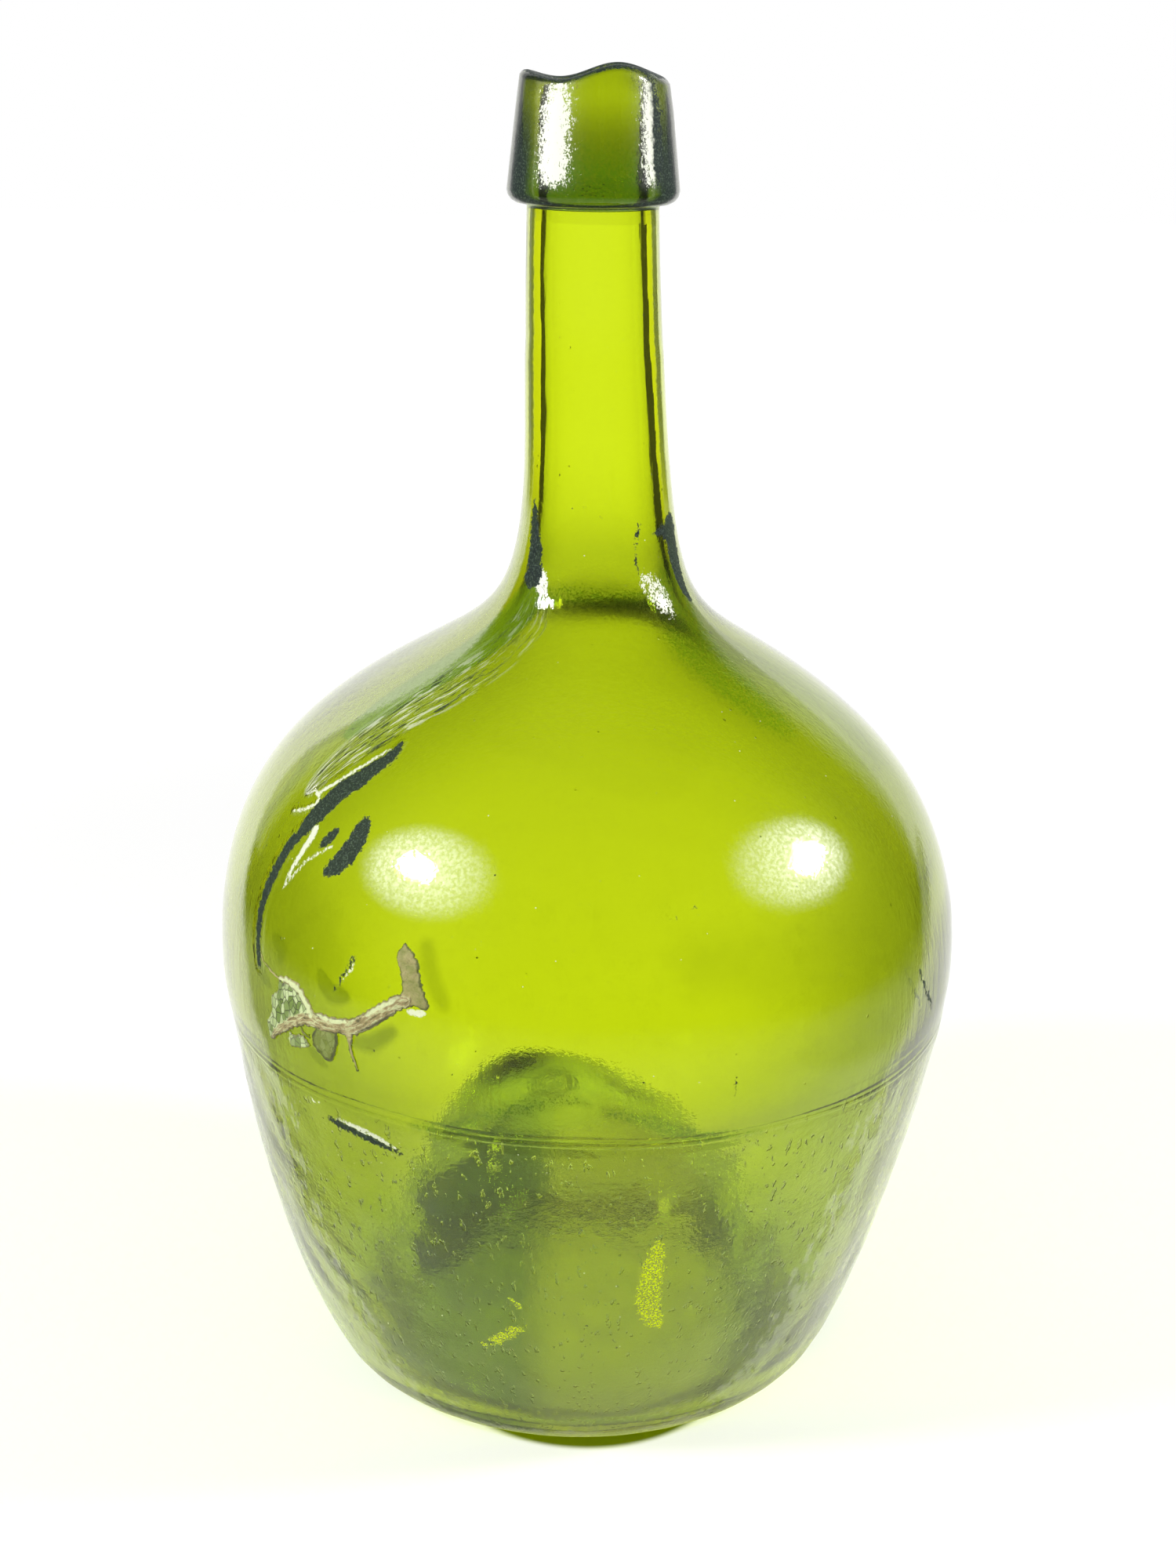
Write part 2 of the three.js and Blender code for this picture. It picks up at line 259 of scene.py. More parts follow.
class Profile:
    """Closed outline of the glass: underside, outside, collar, inside and the push-up's top."""

    def __init__(self, sizes: BottleSizes) -> None:
        """Lays out the stretches from the sizes."""
        s = sizes
        heel_radius = s.foot_wall + s.valley_radius
        kick_foot = s.foot_radius - heel_radius
        foot = Vector((s.foot_radius, heel_radius))
        heel = Round(foot, heel_radius, -90, s.heel_turn - 90)
        seam = Vector((s.body_radius - s.seam_inset, s.seam_height))
        widest = Vector((s.body_radius, s.widest_height))
        shoulder_top = Vector((s.shoulder_top_radius, s.shoulder_top))
        neck_start = Vector((s.neck_root_radius, s.neck_start))
        neck_end = Vector((s.neck_radius, s.collar_height))
        neck_way = (neck_end - neck_start).normalized()
        side = Bend(heel.at(1), leaning(90 - s.heel_turn), seam, leaning(s.seam_slope), (0.28, 0.39))
        belly = Bend(seam, leaning(s.seam_slope), widest, leaning(0), (0.43, 0.4))
        shoulder = Bend(widest, leaning(0), shoulder_top, leaning(-s.shoulder_slope), (0.42, 0.4))
        root = Bend(shoulder_top, leaning(-s.shoulder_slope), neck_start, neck_way, (0.4, 0.75))
        neck = straight(neck_start, neck_end)
        kick = Bend(Vector((0, s.kick_height)), leaning(90), Vector((kick_foot, heel_radius)),
                    leaning(180), (0.15, 0.42))
        kick_edge = Round(Vector((kick_foot + s.kick_edge_radius, s.kick_edge_radius)),
                          s.kick_edge_radius, 180, 270)
        bore = straight(Vector((s.mouth_radius, s.rim_height - s.rim_inner_round)),
                        Vector((s.mouth_radius, s.collar_height)))
        valley = Round(foot, s.valley_radius, s.heel_turn - 90, -180)
        self.stretches = [
            Stretch(kick, 24, Wall.UNDERSIDE),
            Stretch(kick_edge, 4, Wall.UNDERSIDE),
            Stretch(straight(kick_edge.at(1), heel.at(0)), 2, Wall.UNDERSIDE),
            Stretch(heel, 9, Wall.OUTSIDE),
            Stretch(side, 40, Wall.OUTSIDE),
            Stretch(belly, 8, Wall.OUTSIDE),
            Stretch(shoulder, 46, Wall.OUTSIDE),
            Stretch(root, 34, Wall.OUTSIDE),
            Stretch(neck, 8, Wall.OUTSIDE),
            *self.collar_stretches(s, neck_end),
            Stretch(bore, 5, Wall.INSIDE),
            self.inner_stretch(neck, s.neck_wall, s.neck_wall, 3),
            self.inner_stretch(root, s.body_wall, s.neck_wall, 14),
            self.inner_stretch(shoulder, s.body_wall, s.body_wall, 16),
            self.inner_stretch(belly, s.body_wall, s.body_wall, 3),
            self.inner_stretch(side, s.foot_wall, s.body_wall, 14),
            Stretch(valley, 8, Wall.INSIDE),
            self.inner_stretch(kick, s.kick_wall, s.foot_wall, 20),
        ]
        self.ends = np.cumsum([stretch.rings for stretch in self.stretches])
        self.table = self.measure()

    @staticmethod
    def inner_stretch(outer: Bend, first_wall: float, last_wall: float, rings: int) -> Stretch:
        """Returns the inside of an outer stretch, run the other way round."""
        return Stretch(Backwards(Inset(outer, first_wall, last_wall)), rings, Wall.INSIDE)

    @staticmethod
    def collar_stretches(s: BottleSizes, neck_end: Vector) -> list[Stretch]:
        """Returns the collar's outside, from its root on the neck over the rim into the bore."""
        root = Round(neck_end + Vector((s.collar_root, -s.collar_root)), s.collar_root, 180, 90)
        corner = Round(Vector((s.collar_radius - s.collar_corner, s.collar_height + s.collar_corner)),
                       s.collar_corner, -90, 0)
        outer_rim = Round(
            Vector((s.collar_top_radius - s.rim_outer_round, s.rim_height - s.rim_outer_round)),
            s.rim_outer_round, 0, 90)
        inner_rim = Round(
            Vector((s.mouth_radius + s.rim_inner_round, s.rim_height - s.rim_inner_round)),
            s.rim_inner_round, 90, 180)
        arcs = [root, corner, outer_rim, inner_rim]
        rings = [3, 4, 5, 5]
        joins = [1, 10, 1]
        made = []
        for i, (arc, count) in enumerate(zip(arcs, rings)):
            made.append(Stretch(arc, count, Wall.COLLAR))
            if i < len(joins):
                made.append(Stretch(straight(arc.at(1), arcs[i + 1].at(0)), joins[i], Wall.COLLAR))
        return made

    def points(self) -> list[Vector]:
        """Returns the corner points of the outline, one for each ring."""
        made = [self.stretches[0].curve.at(0)]
        for stretch in self.stretches:
            made += [stretch.curve.at((i + 1) / stretch.rings) for i in range(stretch.rings)]
        return made

    def measure(self, finer: int = 12) -> np.ndarray:
        """Returns rows of run, radius, height, outward radius share and outward height share.

        Args:
            finer: how many rows are taken for each ring.
        """
        rows = []
        for end, stretch in zip(self.ends, self.stretches):
            count = stretch.rings * finer
            shares = np.arange(count + 1) / count
            places = np.array([stretch.curve.at(share) for share in shares])
            ways = np.gradient(places, axis=0)
            ways /= np.linalg.norm(ways, axis=1, keepdims=True)
            runs = end - stretch.rings * (1 - shares)
            rows.append(np.column_stack([runs, places, ways[:, 1], -ways[:, 0]]))
        return np.concatenate(rows)

    def at(self, run: np.ndarray) -> tuple[np.ndarray, ...]:
        """Returns radius, height and the outward normal's two shares at each run."""
        return tuple(np.interp(run, self.table[:, 0], column) for column in self.table.T[1:])

    def wall_mask(self, run: np.ndarray, *walls: Wall) -> np.ndarray:
        """Returns True where a run lies on one of the walls."""
        index = np.clip(np.searchsorted(self.ends, run - 1e-6), 0, len(self.ends) - 1)
        listed = np.array([stretch.wall in walls for stretch in self.stretches])
        return listed[index]


def deselect_all() -> None:
    """Leaves no object selected."""
    bpy.ops.object.select_all(action="DESELECT")


def activate(obj: bpy.types.Object) -> None:
    """Selects one object alone and makes it the active one."""
    deselect_all()
    obj.select_set(True)
    bpy.context.view_layer.objects.active = obj


def select_faces(obj: bpy.types.Object, chosen: np.ndarray) -> None:
    """Selects the chosen faces of a mesh, and nothing else of it.

    Args:
        obj: mesh object, in object mode.
        chosen: one True or False for each face.
    """
    mesh = obj.data
    mesh.vertices.foreach_set("select", np.zeros(len(mesh.vertices), bool))
    mesh.edges.foreach_set("select", np.zeros(len(mesh.edges), bool))
    mesh.polygons.foreach_set("select", chosen)


def read_places(items: bpy.types.bpy_prop_collection, name: str) -> np.ndarray:
    """Returns the place of each vertex, named co, or the middle of each face, named center."""
    places = np.empty(len(items) * 3)
    items.foreach_get(name, places)
    return places.reshape(-1, 3)


def write_points(obj: bpy.types.Object, places: np.ndarray) -> None:
    """Moves a mesh's vertices to new places."""
    obj.data.vertices.foreach_set("co", places.astype(np.float32).ravel())
    obj.data.update()


def read_values(obj: bpy.types.Object, name: str) -> np.ndarray:
    """Returns a named value of each vertex."""
    values = np.empty(len(obj.data.vertices), np.float32)
    obj.data.attributes[name].data.foreach_get("value", values)
    return values.astype(float)


def write_values(obj: bpy.types.Object, name: str, values: np.ndarray) -> None:
    """Stores a named value for each vertex."""
    held = obj.data.attributes.get(name) or obj.data.attributes.new(name, "FLOAT", "POINT")
    held.data.foreach_set("value", values.astype(np.float32))


class Look(Enum):
    """How a mark looks, of real marks, painted shade and painted glints: each has its own value on the
    mesh.
    """

    DARK = "dark_mark"
    PALE = "pale_mark"
    LIME = "painted_glint_mark"
    SHADE = "shade"
    SPECK = "speckled_shade"
    SCUFF = "scuffs_and_glints"
    GROOVE = "groove"


@dataclass(frozen=True)
class Mark:
    """Mark along a path over the glass, in degrees from the front to the right and in height.

    The half widths are at the path's start, middle and end. A soft mark fades out over its softness.
    """

    path: tuple[Point, ...]
    half_widths: Triple
    soft: float = 1.0
    depth: float = 1.0

    def lie(self, places: np.ndarray, on_glass: Callable[[np.ndarray, np.ndarray], np.ndarray]
            ) -> tuple[np.ndarray, np.ndarray, np.ndarray]:
        """Returns how far within the mark each place lies, its run and its share of the half width.

        The first is less than 0 outside the mark, and the last is less than 0 on the path's left.

        Args:
            places: places on the glass.
            on_glass: gives the place on the glass for azimuths and heights.
        """
        corners = on_glass(*np.array(self.path, float).T)
        lengths = np.linalg.norm(np.diff(corners, axis=0), axis=1)
        starts = np.concatenate([[0], np.cumsum(lengths)])
        inside = np.full(len(places), -np.inf)
        along, across = np.zeros((2, len(places)))
        outward = places * (1, 1, 0)
        for low, high, start, length in zip(corners, corners[1:], starts, lengths):
            way = (high - low) / length
            share = np.clip((places - low) @ way / length, 0, 1)
            run = (start + share * length) / starts[-1]
            first, middle, last = self.half_widths
            bulge = (middle - (first + last) / 2) * 2 * np.sqrt(np.maximum(run * (1 - run), 0))
            half = first + (last - first) * run + bulge
            off = places - low - share[:, None] * (high - low)
            gap = np.linalg.norm(off, axis=1)
            side = np.sign(np.sum(np.cross(off, way) * outward, axis=1))
            closer = half - gap > inside
            inside = np.where(closer, half - gap, inside)
            along = np.where(closer, run * starts[-1], along)
            across = np.where(closer, side * gap / half, across)
        return inside, along, across


# Waves per millimetre and reach in millimetres of the rough edge that sharp marks have.
ROUGH_EDGES = {Look.DARK: (0.7, 4.5), Look.PALE: (0.9, 2.6), Look.LIME: (0.6, 7.0)}
NO_MARK = -3.0
STREAK = ((-45.6, 205.8), (-45.5, 202.8), (-47.1, 199.9), (-48.9, 196.3), (-51.0, 193.5), (-52.0, 189.9),
          (-53.4, 185.4), (-54.3, 181.7), (-55.8, 176.9), (-56.5, 171.2), (-57.2, 165.3), (-57.6, 158.8),
          (-57.0, 150.0), (-56.1, 144.6))
FAN = ((-38.5, 240.3), (-38.2, 232.4), (-42.6, 224.1), (-47.7, 216.7), (-52.5, 210.4), (-56.1, 203.1),
       (-58.5, 195.6), (-59.7, 189.0))
HOOK = ((-59.9, 184.5), (-56.8, 186.4), (-55.0, 188.4), (-55.3, 190.0), (-57.6, 190.8), (-59.0, 189.4))
MARKS = {
    Look.DARK: (
        Mark(STREAK[:8], (0.2, 3.4, 1.7)),
        Mark(STREAK[7:], (1.7, 1.8, 1.0)),
        Mark(((-41.3, 189.9), (-41.0, 187.5), (-40.9, 184.7), (-41.6, 181.6), (-42.8, 178.6),
              (-45.0, 175.6)),
             (0.9, 3.3, 0.3)),
        Mark(((-45.9, 186.0), (-46.9, 183.6), (-48.2, 180.8)), (0.5, 1.6, 0.3)),
        Mark(((-35.1, 158.1), (-35.7, 155.6)), (1.0, 0.9, 0.4)),
        Mark(((-35.7, 155.6), (-36.9, 151.9), (-38.1, 148.4)), (0.4, 0.4, 0.1)),
        Mark(((-35.6, 138.1), (-34.9, 136.3), (-34.8, 133.1), (-34.1, 130.7), (-33.5, 128.1)),
             (0.5, 0.45, 0.2)),
        Mark(((21.6, 146.8), (21.1, 131.8), (20.6, 116.5)), (0.05, 0.25, 0.05)),
        Mark(((57.6, 146.3), (60.0, 137.6), (64.3, 127.1)), (0.4, 0.9, 0.3)),
        Mark(((11.9, 174.1), (14.6, 175.7), (18.9, 178.1)), (0.1, 0.35, 0.1)),
        # Painted shade: dark patches where the neck rises from the shoulder.
        Mark(((-55.2, 265.7), (-54.2, 259.2), (-49.3, 251.8), (-47.1, 246.5), (-46.9, 243.8)),
             (0.3, 2.2, 3.0)),
        Mark(((40.3, 256.6), (53.3, 257.0), (65.9, 257.7)), (0.2, 1.8, 3.0)),
        Mark(((65.9, 257.7), (64.4, 252.3), (64.5, 246.7), (64.8, 241.2), (66.2, 236.7)), (3.4, 2.8, 1.0)),
        Mark(((30.5, 260.3), (26.4, 253.4), (26.8, 245.9)), (0.5, 0.45, 0.3)),
        Mark(((-41.0, 108.9), (-36.5, 108.3), (-31.8, 107.4), (-26.9, 105.4)), (0.2, 1.5, 0.1)),
        # Painted shade: a dark wavy line along the heel's outline.
        Mark(((-47.0, 11.5), (-43.0, 10.1), (-30.6, 7.3), (-16.3, 4.7), (-5.8, 4.5), (10.0, 4.7),
              (29.0, 6.3), (40.9, 8.8), (46.0, 10.8)), (0.1, 0.45, 0.1)),
    ),
    Look.PALE: (
        # Painted glint: a whitish streak beside the dark streak.
        Mark(((-51.3, 183.9), (-51.2, 181.0), (-51.7, 177.8), (-52.4, 173.9), (-53.1, 168.0)),
             (1.2, 0.9, 0.15)),
        Mark(((-45.4, 182.2), (-47.6, 179.6), (-49.9, 176.4), (-51.5, 172.1), (-53.3, 167.0)),
             (0.3, 0.5, 0.15)),
        Mark(HOOK, (0.4, 0.6, 0.4)),
        Mark(((-47.2, 203.9), (-50.3, 199.6), (-53.4, 194.6), (-56.4, 190.4)), (0.3, 0.7, 0.5)),
        Mark(((-34.9, 156.9), (-35.6, 154.6), (-36.6, 152.0)), (0.6, 0.45, 0.1)),
        Mark(((-40.0, 109.9), (-36.0, 109.9), (-31.4, 108.6), (-27.4, 106.2)), (0.1, 1.0, 0.1)),
        Mark(((-43.9, 112.8), (-43.3, 111.7), (-41.7, 112.8)), (0.4, 0.5, 0.3)),
        # Painted glint under the crust's bar.
        Mark(((-25.2, 148.6), (-24.0, 148.4), (-22.6, 148.8)), (0.5, 1.0, 0.4)),
    ),
    # Painted glints: bright yellow-green spots on the push-up, where the lamps shine through.
    Look.LIME: (
        Mark(((12.3, 83.5), (11.6, 75.7), (11.2, 67.3), (11.4, 60.1), (13.2, 52.2)), (0.7, 3.6, 1.6)),
        Mark(((-16.6, 42.3), (-14.1, 45.4), (-11.4, 48.8), (-8.9, 52.4)), (0.8, 1.9, 1.0)),
        Mark(((-10.6, 61.6), (-9.3, 58.8)), (0.8, 1.0, 0.6)),
    ),
    # Painted shade: soft dark green patches and bands round the crust, on the shoulders and on the belly.
    Look.SHADE: (
        Mark(((-57.6, 207.7), (-64.0, 205.0), (-68.0, 200.0), (-70.1, 195.7), (-66.6, 191.8),
              (-66.5, 186.5), (-67.4, 180.6), (-67.1, 175.7), (-66.5, 171.0)), (1.0, 1.8, 0.5), 2.0, 0.8),
        Mark(((-23.1, 165.7), (-22.3, 160.8), (-21.2, 156.3), (-19.9, 152.2)), (0.2, 0.8, 0.2), 3.5, 0.55),
        Mark(((-41.1, 151.7), (-39.9, 149.0), (-38.6, 147.4), (-35.8, 147.8)), (0.1, 1.5, 0.3), 2.4, 1.2),
        Mark(((-52.2, 155.0), (-50.0, 152.8), (-50.4, 149.7)), (0.2, 1.3, 0.2), 2.6, 1.1),
        Mark(((-33.9, 136.0), (-31.2, 137.0), (-27.6, 142.1)), (0.3, 1.0, 0.2), 2.8),
        Mark(((-56.3, 145.8), (-54.8, 142.6), (-52.9, 140.9)), (0.3, 1.5, 0.5), 1.2),
        Mark(((-42.8, 128.7), (-41.3, 127.0), (-39.6, 125.7)), (0.4, 1.2, 0.3), 0.8),
        Mark(((65.5, 241.1), (77.3, 227.9), (82.2, 217.5), (83.0, 206.4), (78.7, 196.0)), (4.0, 10.0, 3.0),
             10.0, 1.2),
        Mark(((60.0, 158.0), (42.0, 159.5), (30.8, 161.0), (16.8, 163.5)), (9.0, 5.0, 0.5), 14.0, 0.3),
        Mark(((-56.0, 168.0), (-48.0, 161.0), (-40.0, 157.0)), (1.0, 6.0, 1.0), 12.0, 0.35),
    ),
    # Painted speckled shade: grainy dark bands at the neck root, on both shoulders and along the seam.
    Look.SPECK: (
        Mark(((-36.0, 240.0), (-16.0, 241.0), (4.0, 240.6), (24.0, 239.6), (44.0, 237.6)), (0.8, 1.6, 1.4),
             4.0, 0.5),
        Mark(((-43.0, 240.5), (-51.0, 231.0), (-55.0, 223.5), (-59.0, 216.5), (-61.8, 210.0),
              (-63.0, 203.5)),
             (2.5, 4.6, 1.2), 4.0, 1.1),
        Mark(((56.0, 243.0), (52.0, 234.0), (47.0, 226.0), (49.0, 217.0), (52.0, 209.0)), (2.5, 5.0, 1.0),
             9.0, 0.6),
        Mark(((-25.0, 115.7), (-18.3, 117.3), (-11.4, 124.3), (-4.9, 128.9), (-0.1, 129.3)),
             (0.3, 1.8, 0.3), 1.6, 0.5),
        Mark(((2.5, 126.3), (7.9, 123.6), (11.3, 120.2), (17.1, 115.8), (25.7, 114.4)), (0.3, 1.8, 0.3),
             1.6, 0.5),
    ),
    # Painted glints: whitish grainy patches at the neck root, where the lamps glint.
    Look.SCUFF: (
        Mark(((-46.6, 246.5), (-39.7, 243.8), (-36.2, 241.0)), (1.0, 1.6, 0.8), 2.0, 0.8),
        Mark(((33.0, 244.5), (38.1, 241.2), (44.5, 235.7)), (1.2, 2.2, 0.6), 3.0, 0.6),
    ),
    Look.GROOVE: (
        Mark(STREAK, (0.6, 2.4, 1.6), 1.5, 0.5),
        Mark(HOOK, (0.5, 0.8, 0.5), 0.8, 0.4),
    ),
}


@dataclass(frozen=True)
class HandWaves:
    """Unevenness that the hand and the mould left, as a sum of waves in all directions."""

    shortest: float
    longest: float
    height: float
    count: int = 24
    seed: int = 5

    def at(self, places: np.ndarray) -> np.ndarray:
        """Returns the rise of the surface at each place, in millimetres."""
        chance = np.random.default_rng(self.seed)
        ways = chance.normal(size=(self.count, 3))
        ways /= np.linalg.norm(ways, axis=1, keepdims=True)
        lengths = chance.uniform(self.shortest, self.longest, self.count)
        starts = chance.uniform(0, FULL_TURN, self.count)
        total = np.zeros(len(places))
        for way, length, start in zip(ways, lengths, starts):
            total += np.sin(places @ way * FULL_TURN / length + start)
        return self.height * total / math.sqrt(self.count)


@dataclass(frozen=True)
class Grain:
    """Noise in a skin: its waves per millimetre, detail and roughness, and how it is squeezed upwards."""

    per_mm: float
    detail: float
    roughness: float
    upwards: float = 1.0


class Value:
    """Wraps a node's output so that sums on it add their Math nodes."""

    def __init__(self, shader: "Shader", socket: bpy.types.NodeSocket | None) -> None:
        """Keeps the shader and the socket."""
        self.shader = shader
        self.socket = socket

    def __add__(self, other: "Value | float") -> "Value":
        """Returns the sum."""
        return self.shader.maths("ADD", self, other)

    def __mul__(self, other: "Value | float") -> "Value":
        """Returns the product."""
        return self.shader.maths("MULTIPLY", self, other)

    def __sub__(self, other: "Value | float") -> "Value":
        """Returns the difference."""
        return self.shader.maths("SUBTRACT", self, other)

    def __rsub__(self, other: float) -> "Value":
        """Returns the difference from a number."""
        return self.shader.maths("SUBTRACT", other, self)

    def __or__(self, other: "Value | float") -> "Value":
        """Returns the greater of the two."""
        return self.shader.maths("MAXIMUM", self, other)

    __radd__ = __add__
    __rmul__ = __mul__

    def between(self, low: float, high: float) -> "Value":
        """Returns 0 below low and 1 above high, with a smooth step between."""
        return self.shader.add("ShaderNodeMapRange", {"interpolation_type": "SMOOTHSTEP"}, {
            "Value": self, "From Min": low, "From Max": high})

    def within(self, rising: Point, falling: Point) -> "Value":
        """Returns 1 from the end of a rising step to the start of a falling one, and 0 beyond both."""
        return self.between(*rising) * (1 - self.between(*falling))


class Shader:
    """Builds one node tree, of a material or of the world."""

    def __init__(self, owner: bpy.types.Material | bpy.types.World) -> None:
        """Clears the owner's nodes and keeps its tree."""
        owner.use_nodes = True
        self.tree = owner.node_tree
        self.tree.nodes.clear()

    def add(self, kind: str, settings: dict | None = None, inputs: dict | None = None,
            output: str | int = 0) -> Value:
        """Adds any node.

        Args:
            kind: the node's type.
            settings: its own settings, which are set first.
            inputs: a number, colour or link for each of its sockets, by name or number.
            output: the socket that is wanted, by name or number.

        Returns:
            The wanted output.
        """
        node = self.tree.nodes.new(kind)
        for name, setting in (settings or {}).items():
            if name == "stops":
                self.set_stops(node.color_ramp, setting)
            else:
                setattr(node, name, setting)
        for name, value in (inputs or {}).items():
            if isinstance(value, Value):
                self.tree.links.new(value.socket, node.inputs[name])
            else:
                node.inputs[name].default_value = value
        return Value(self, node.outputs[output] if node.outputs else None)

    @staticmethod
    def set_stops(ramp: bpy.types.ColorRamp, stops: tuple[tuple[float, Colour], ...]) -> None:
        """Gives a ramp its stops."""
        while len(ramp.elements) < len(stops):
            ramp.elements.new(1.0)
        for element, (place, colour) in zip(ramp.elements, stops):
            element.position = place
            element.color = (*colour, 1)

    def maths(self, operation: str, *values: Value | float) -> Value:
        """Returns the result of a Math node on the values."""
        return self.add("ShaderNodeMath", {"operation": operation}, dict(enumerate(values)))

    def axes(self, vector: Value, names: str) -> list[Value]:
        """Returns the named axes of a vector."""
        return [self.add("ShaderNodeSeparateXYZ", None, {0: vector}, output=name) for name in names]

    def ray(self, *kinds: str) -> Value:
        """Returns 1 for rays of any of the kinds, else 0."""
        total, *others = (self.add("ShaderNodeLightPath", output=f"Is {kind} Ray") for kind in kinds)
        for other in others:
            total = total | other
        return total

    def attribute(self, name: str) -> Value:
        """Returns a named value of the mesh."""
        return self.add("ShaderNodeAttribute", {"attribute_name": name}, output="Fac")

    def place(self, scale: Triple = (1, 1, 1)) -> Value:
        """Returns the object's coordinates, each axis scaled."""
        here = self.add("ShaderNodeTexCoord", output="Object")
        return self.add("ShaderNodeMapping", None, {"Vector": here, "Scale": scale})

    def noise(self, grain: Grain) -> Value:
        """Returns noise over the object."""
        return self.add("ShaderNodeTexNoise", None, {
            "Vector": self.place((1, 1, grain.upwards)), "Scale": grain.per_mm / MM,
            "Detail": grain.detail, "Roughness": grain.roughness})

    def drawn_out(self, along: str, across: str, stretch: Point, grain: Grain) -> Value:
        """Returns noise that is drawn out along a path.

        Args:
            along: name of the values that run along the path.
            across: name of the values that run across it.
            stretch: what the two are multiplied by.
            grain: the noise, its waves for one of what that gives.
        """
        lie = self.add("ShaderNodeCombineXYZ", None, {
            "X": self.attribute(along) * stretch[0], "Y": self.attribute(across) * stretch[1]})
        return self.add("ShaderNodeTexNoise", None, {
            "Vector": lie, "Scale": grain.per_mm, "Detail": grain.detail, "Roughness": grain.roughness})

    def cells(self, per_mm: float, scale: Triple = (1, 1, 1), output: str = "Distance",
              feature: str = "F1") -> Value:
        """Returns the distance to scattered points, or another output of the cells round them."""
        return self.add("ShaderNodeTexVoronoi", {"feature": feature}, {
            "Vector": self.place(scale), "Scale": per_mm / MM}, output)

    def blend(self, share: Value | float, first: Value | Colour, second: Value | Colour) -> Value:
        """Returns a mix of two colours."""
        fill = [(*c, 1) if isinstance(c, tuple) else c for c in (first, second)]
        return self.add("ShaderNodeMix", {"data_type": "RGBA"}, {
            0: share, 6: fill[0], 7: fill[1]}, output=2)

    def mix_shader(self, share: Value | float, first: Value, second: Value) -> Value:
        """Returns a mix of two shaders."""
        return self.add("ShaderNodeMixShader", None, {0: share, 1: first, 2: second})

    def bump(self, height: Value) -> Value:
        """Returns the normal bent by heights in millimetres."""
        return self.add("ShaderNodeBump", None, {
            "Height": height, "Distance": MM, "Strength": 1.0}, output="Normal")


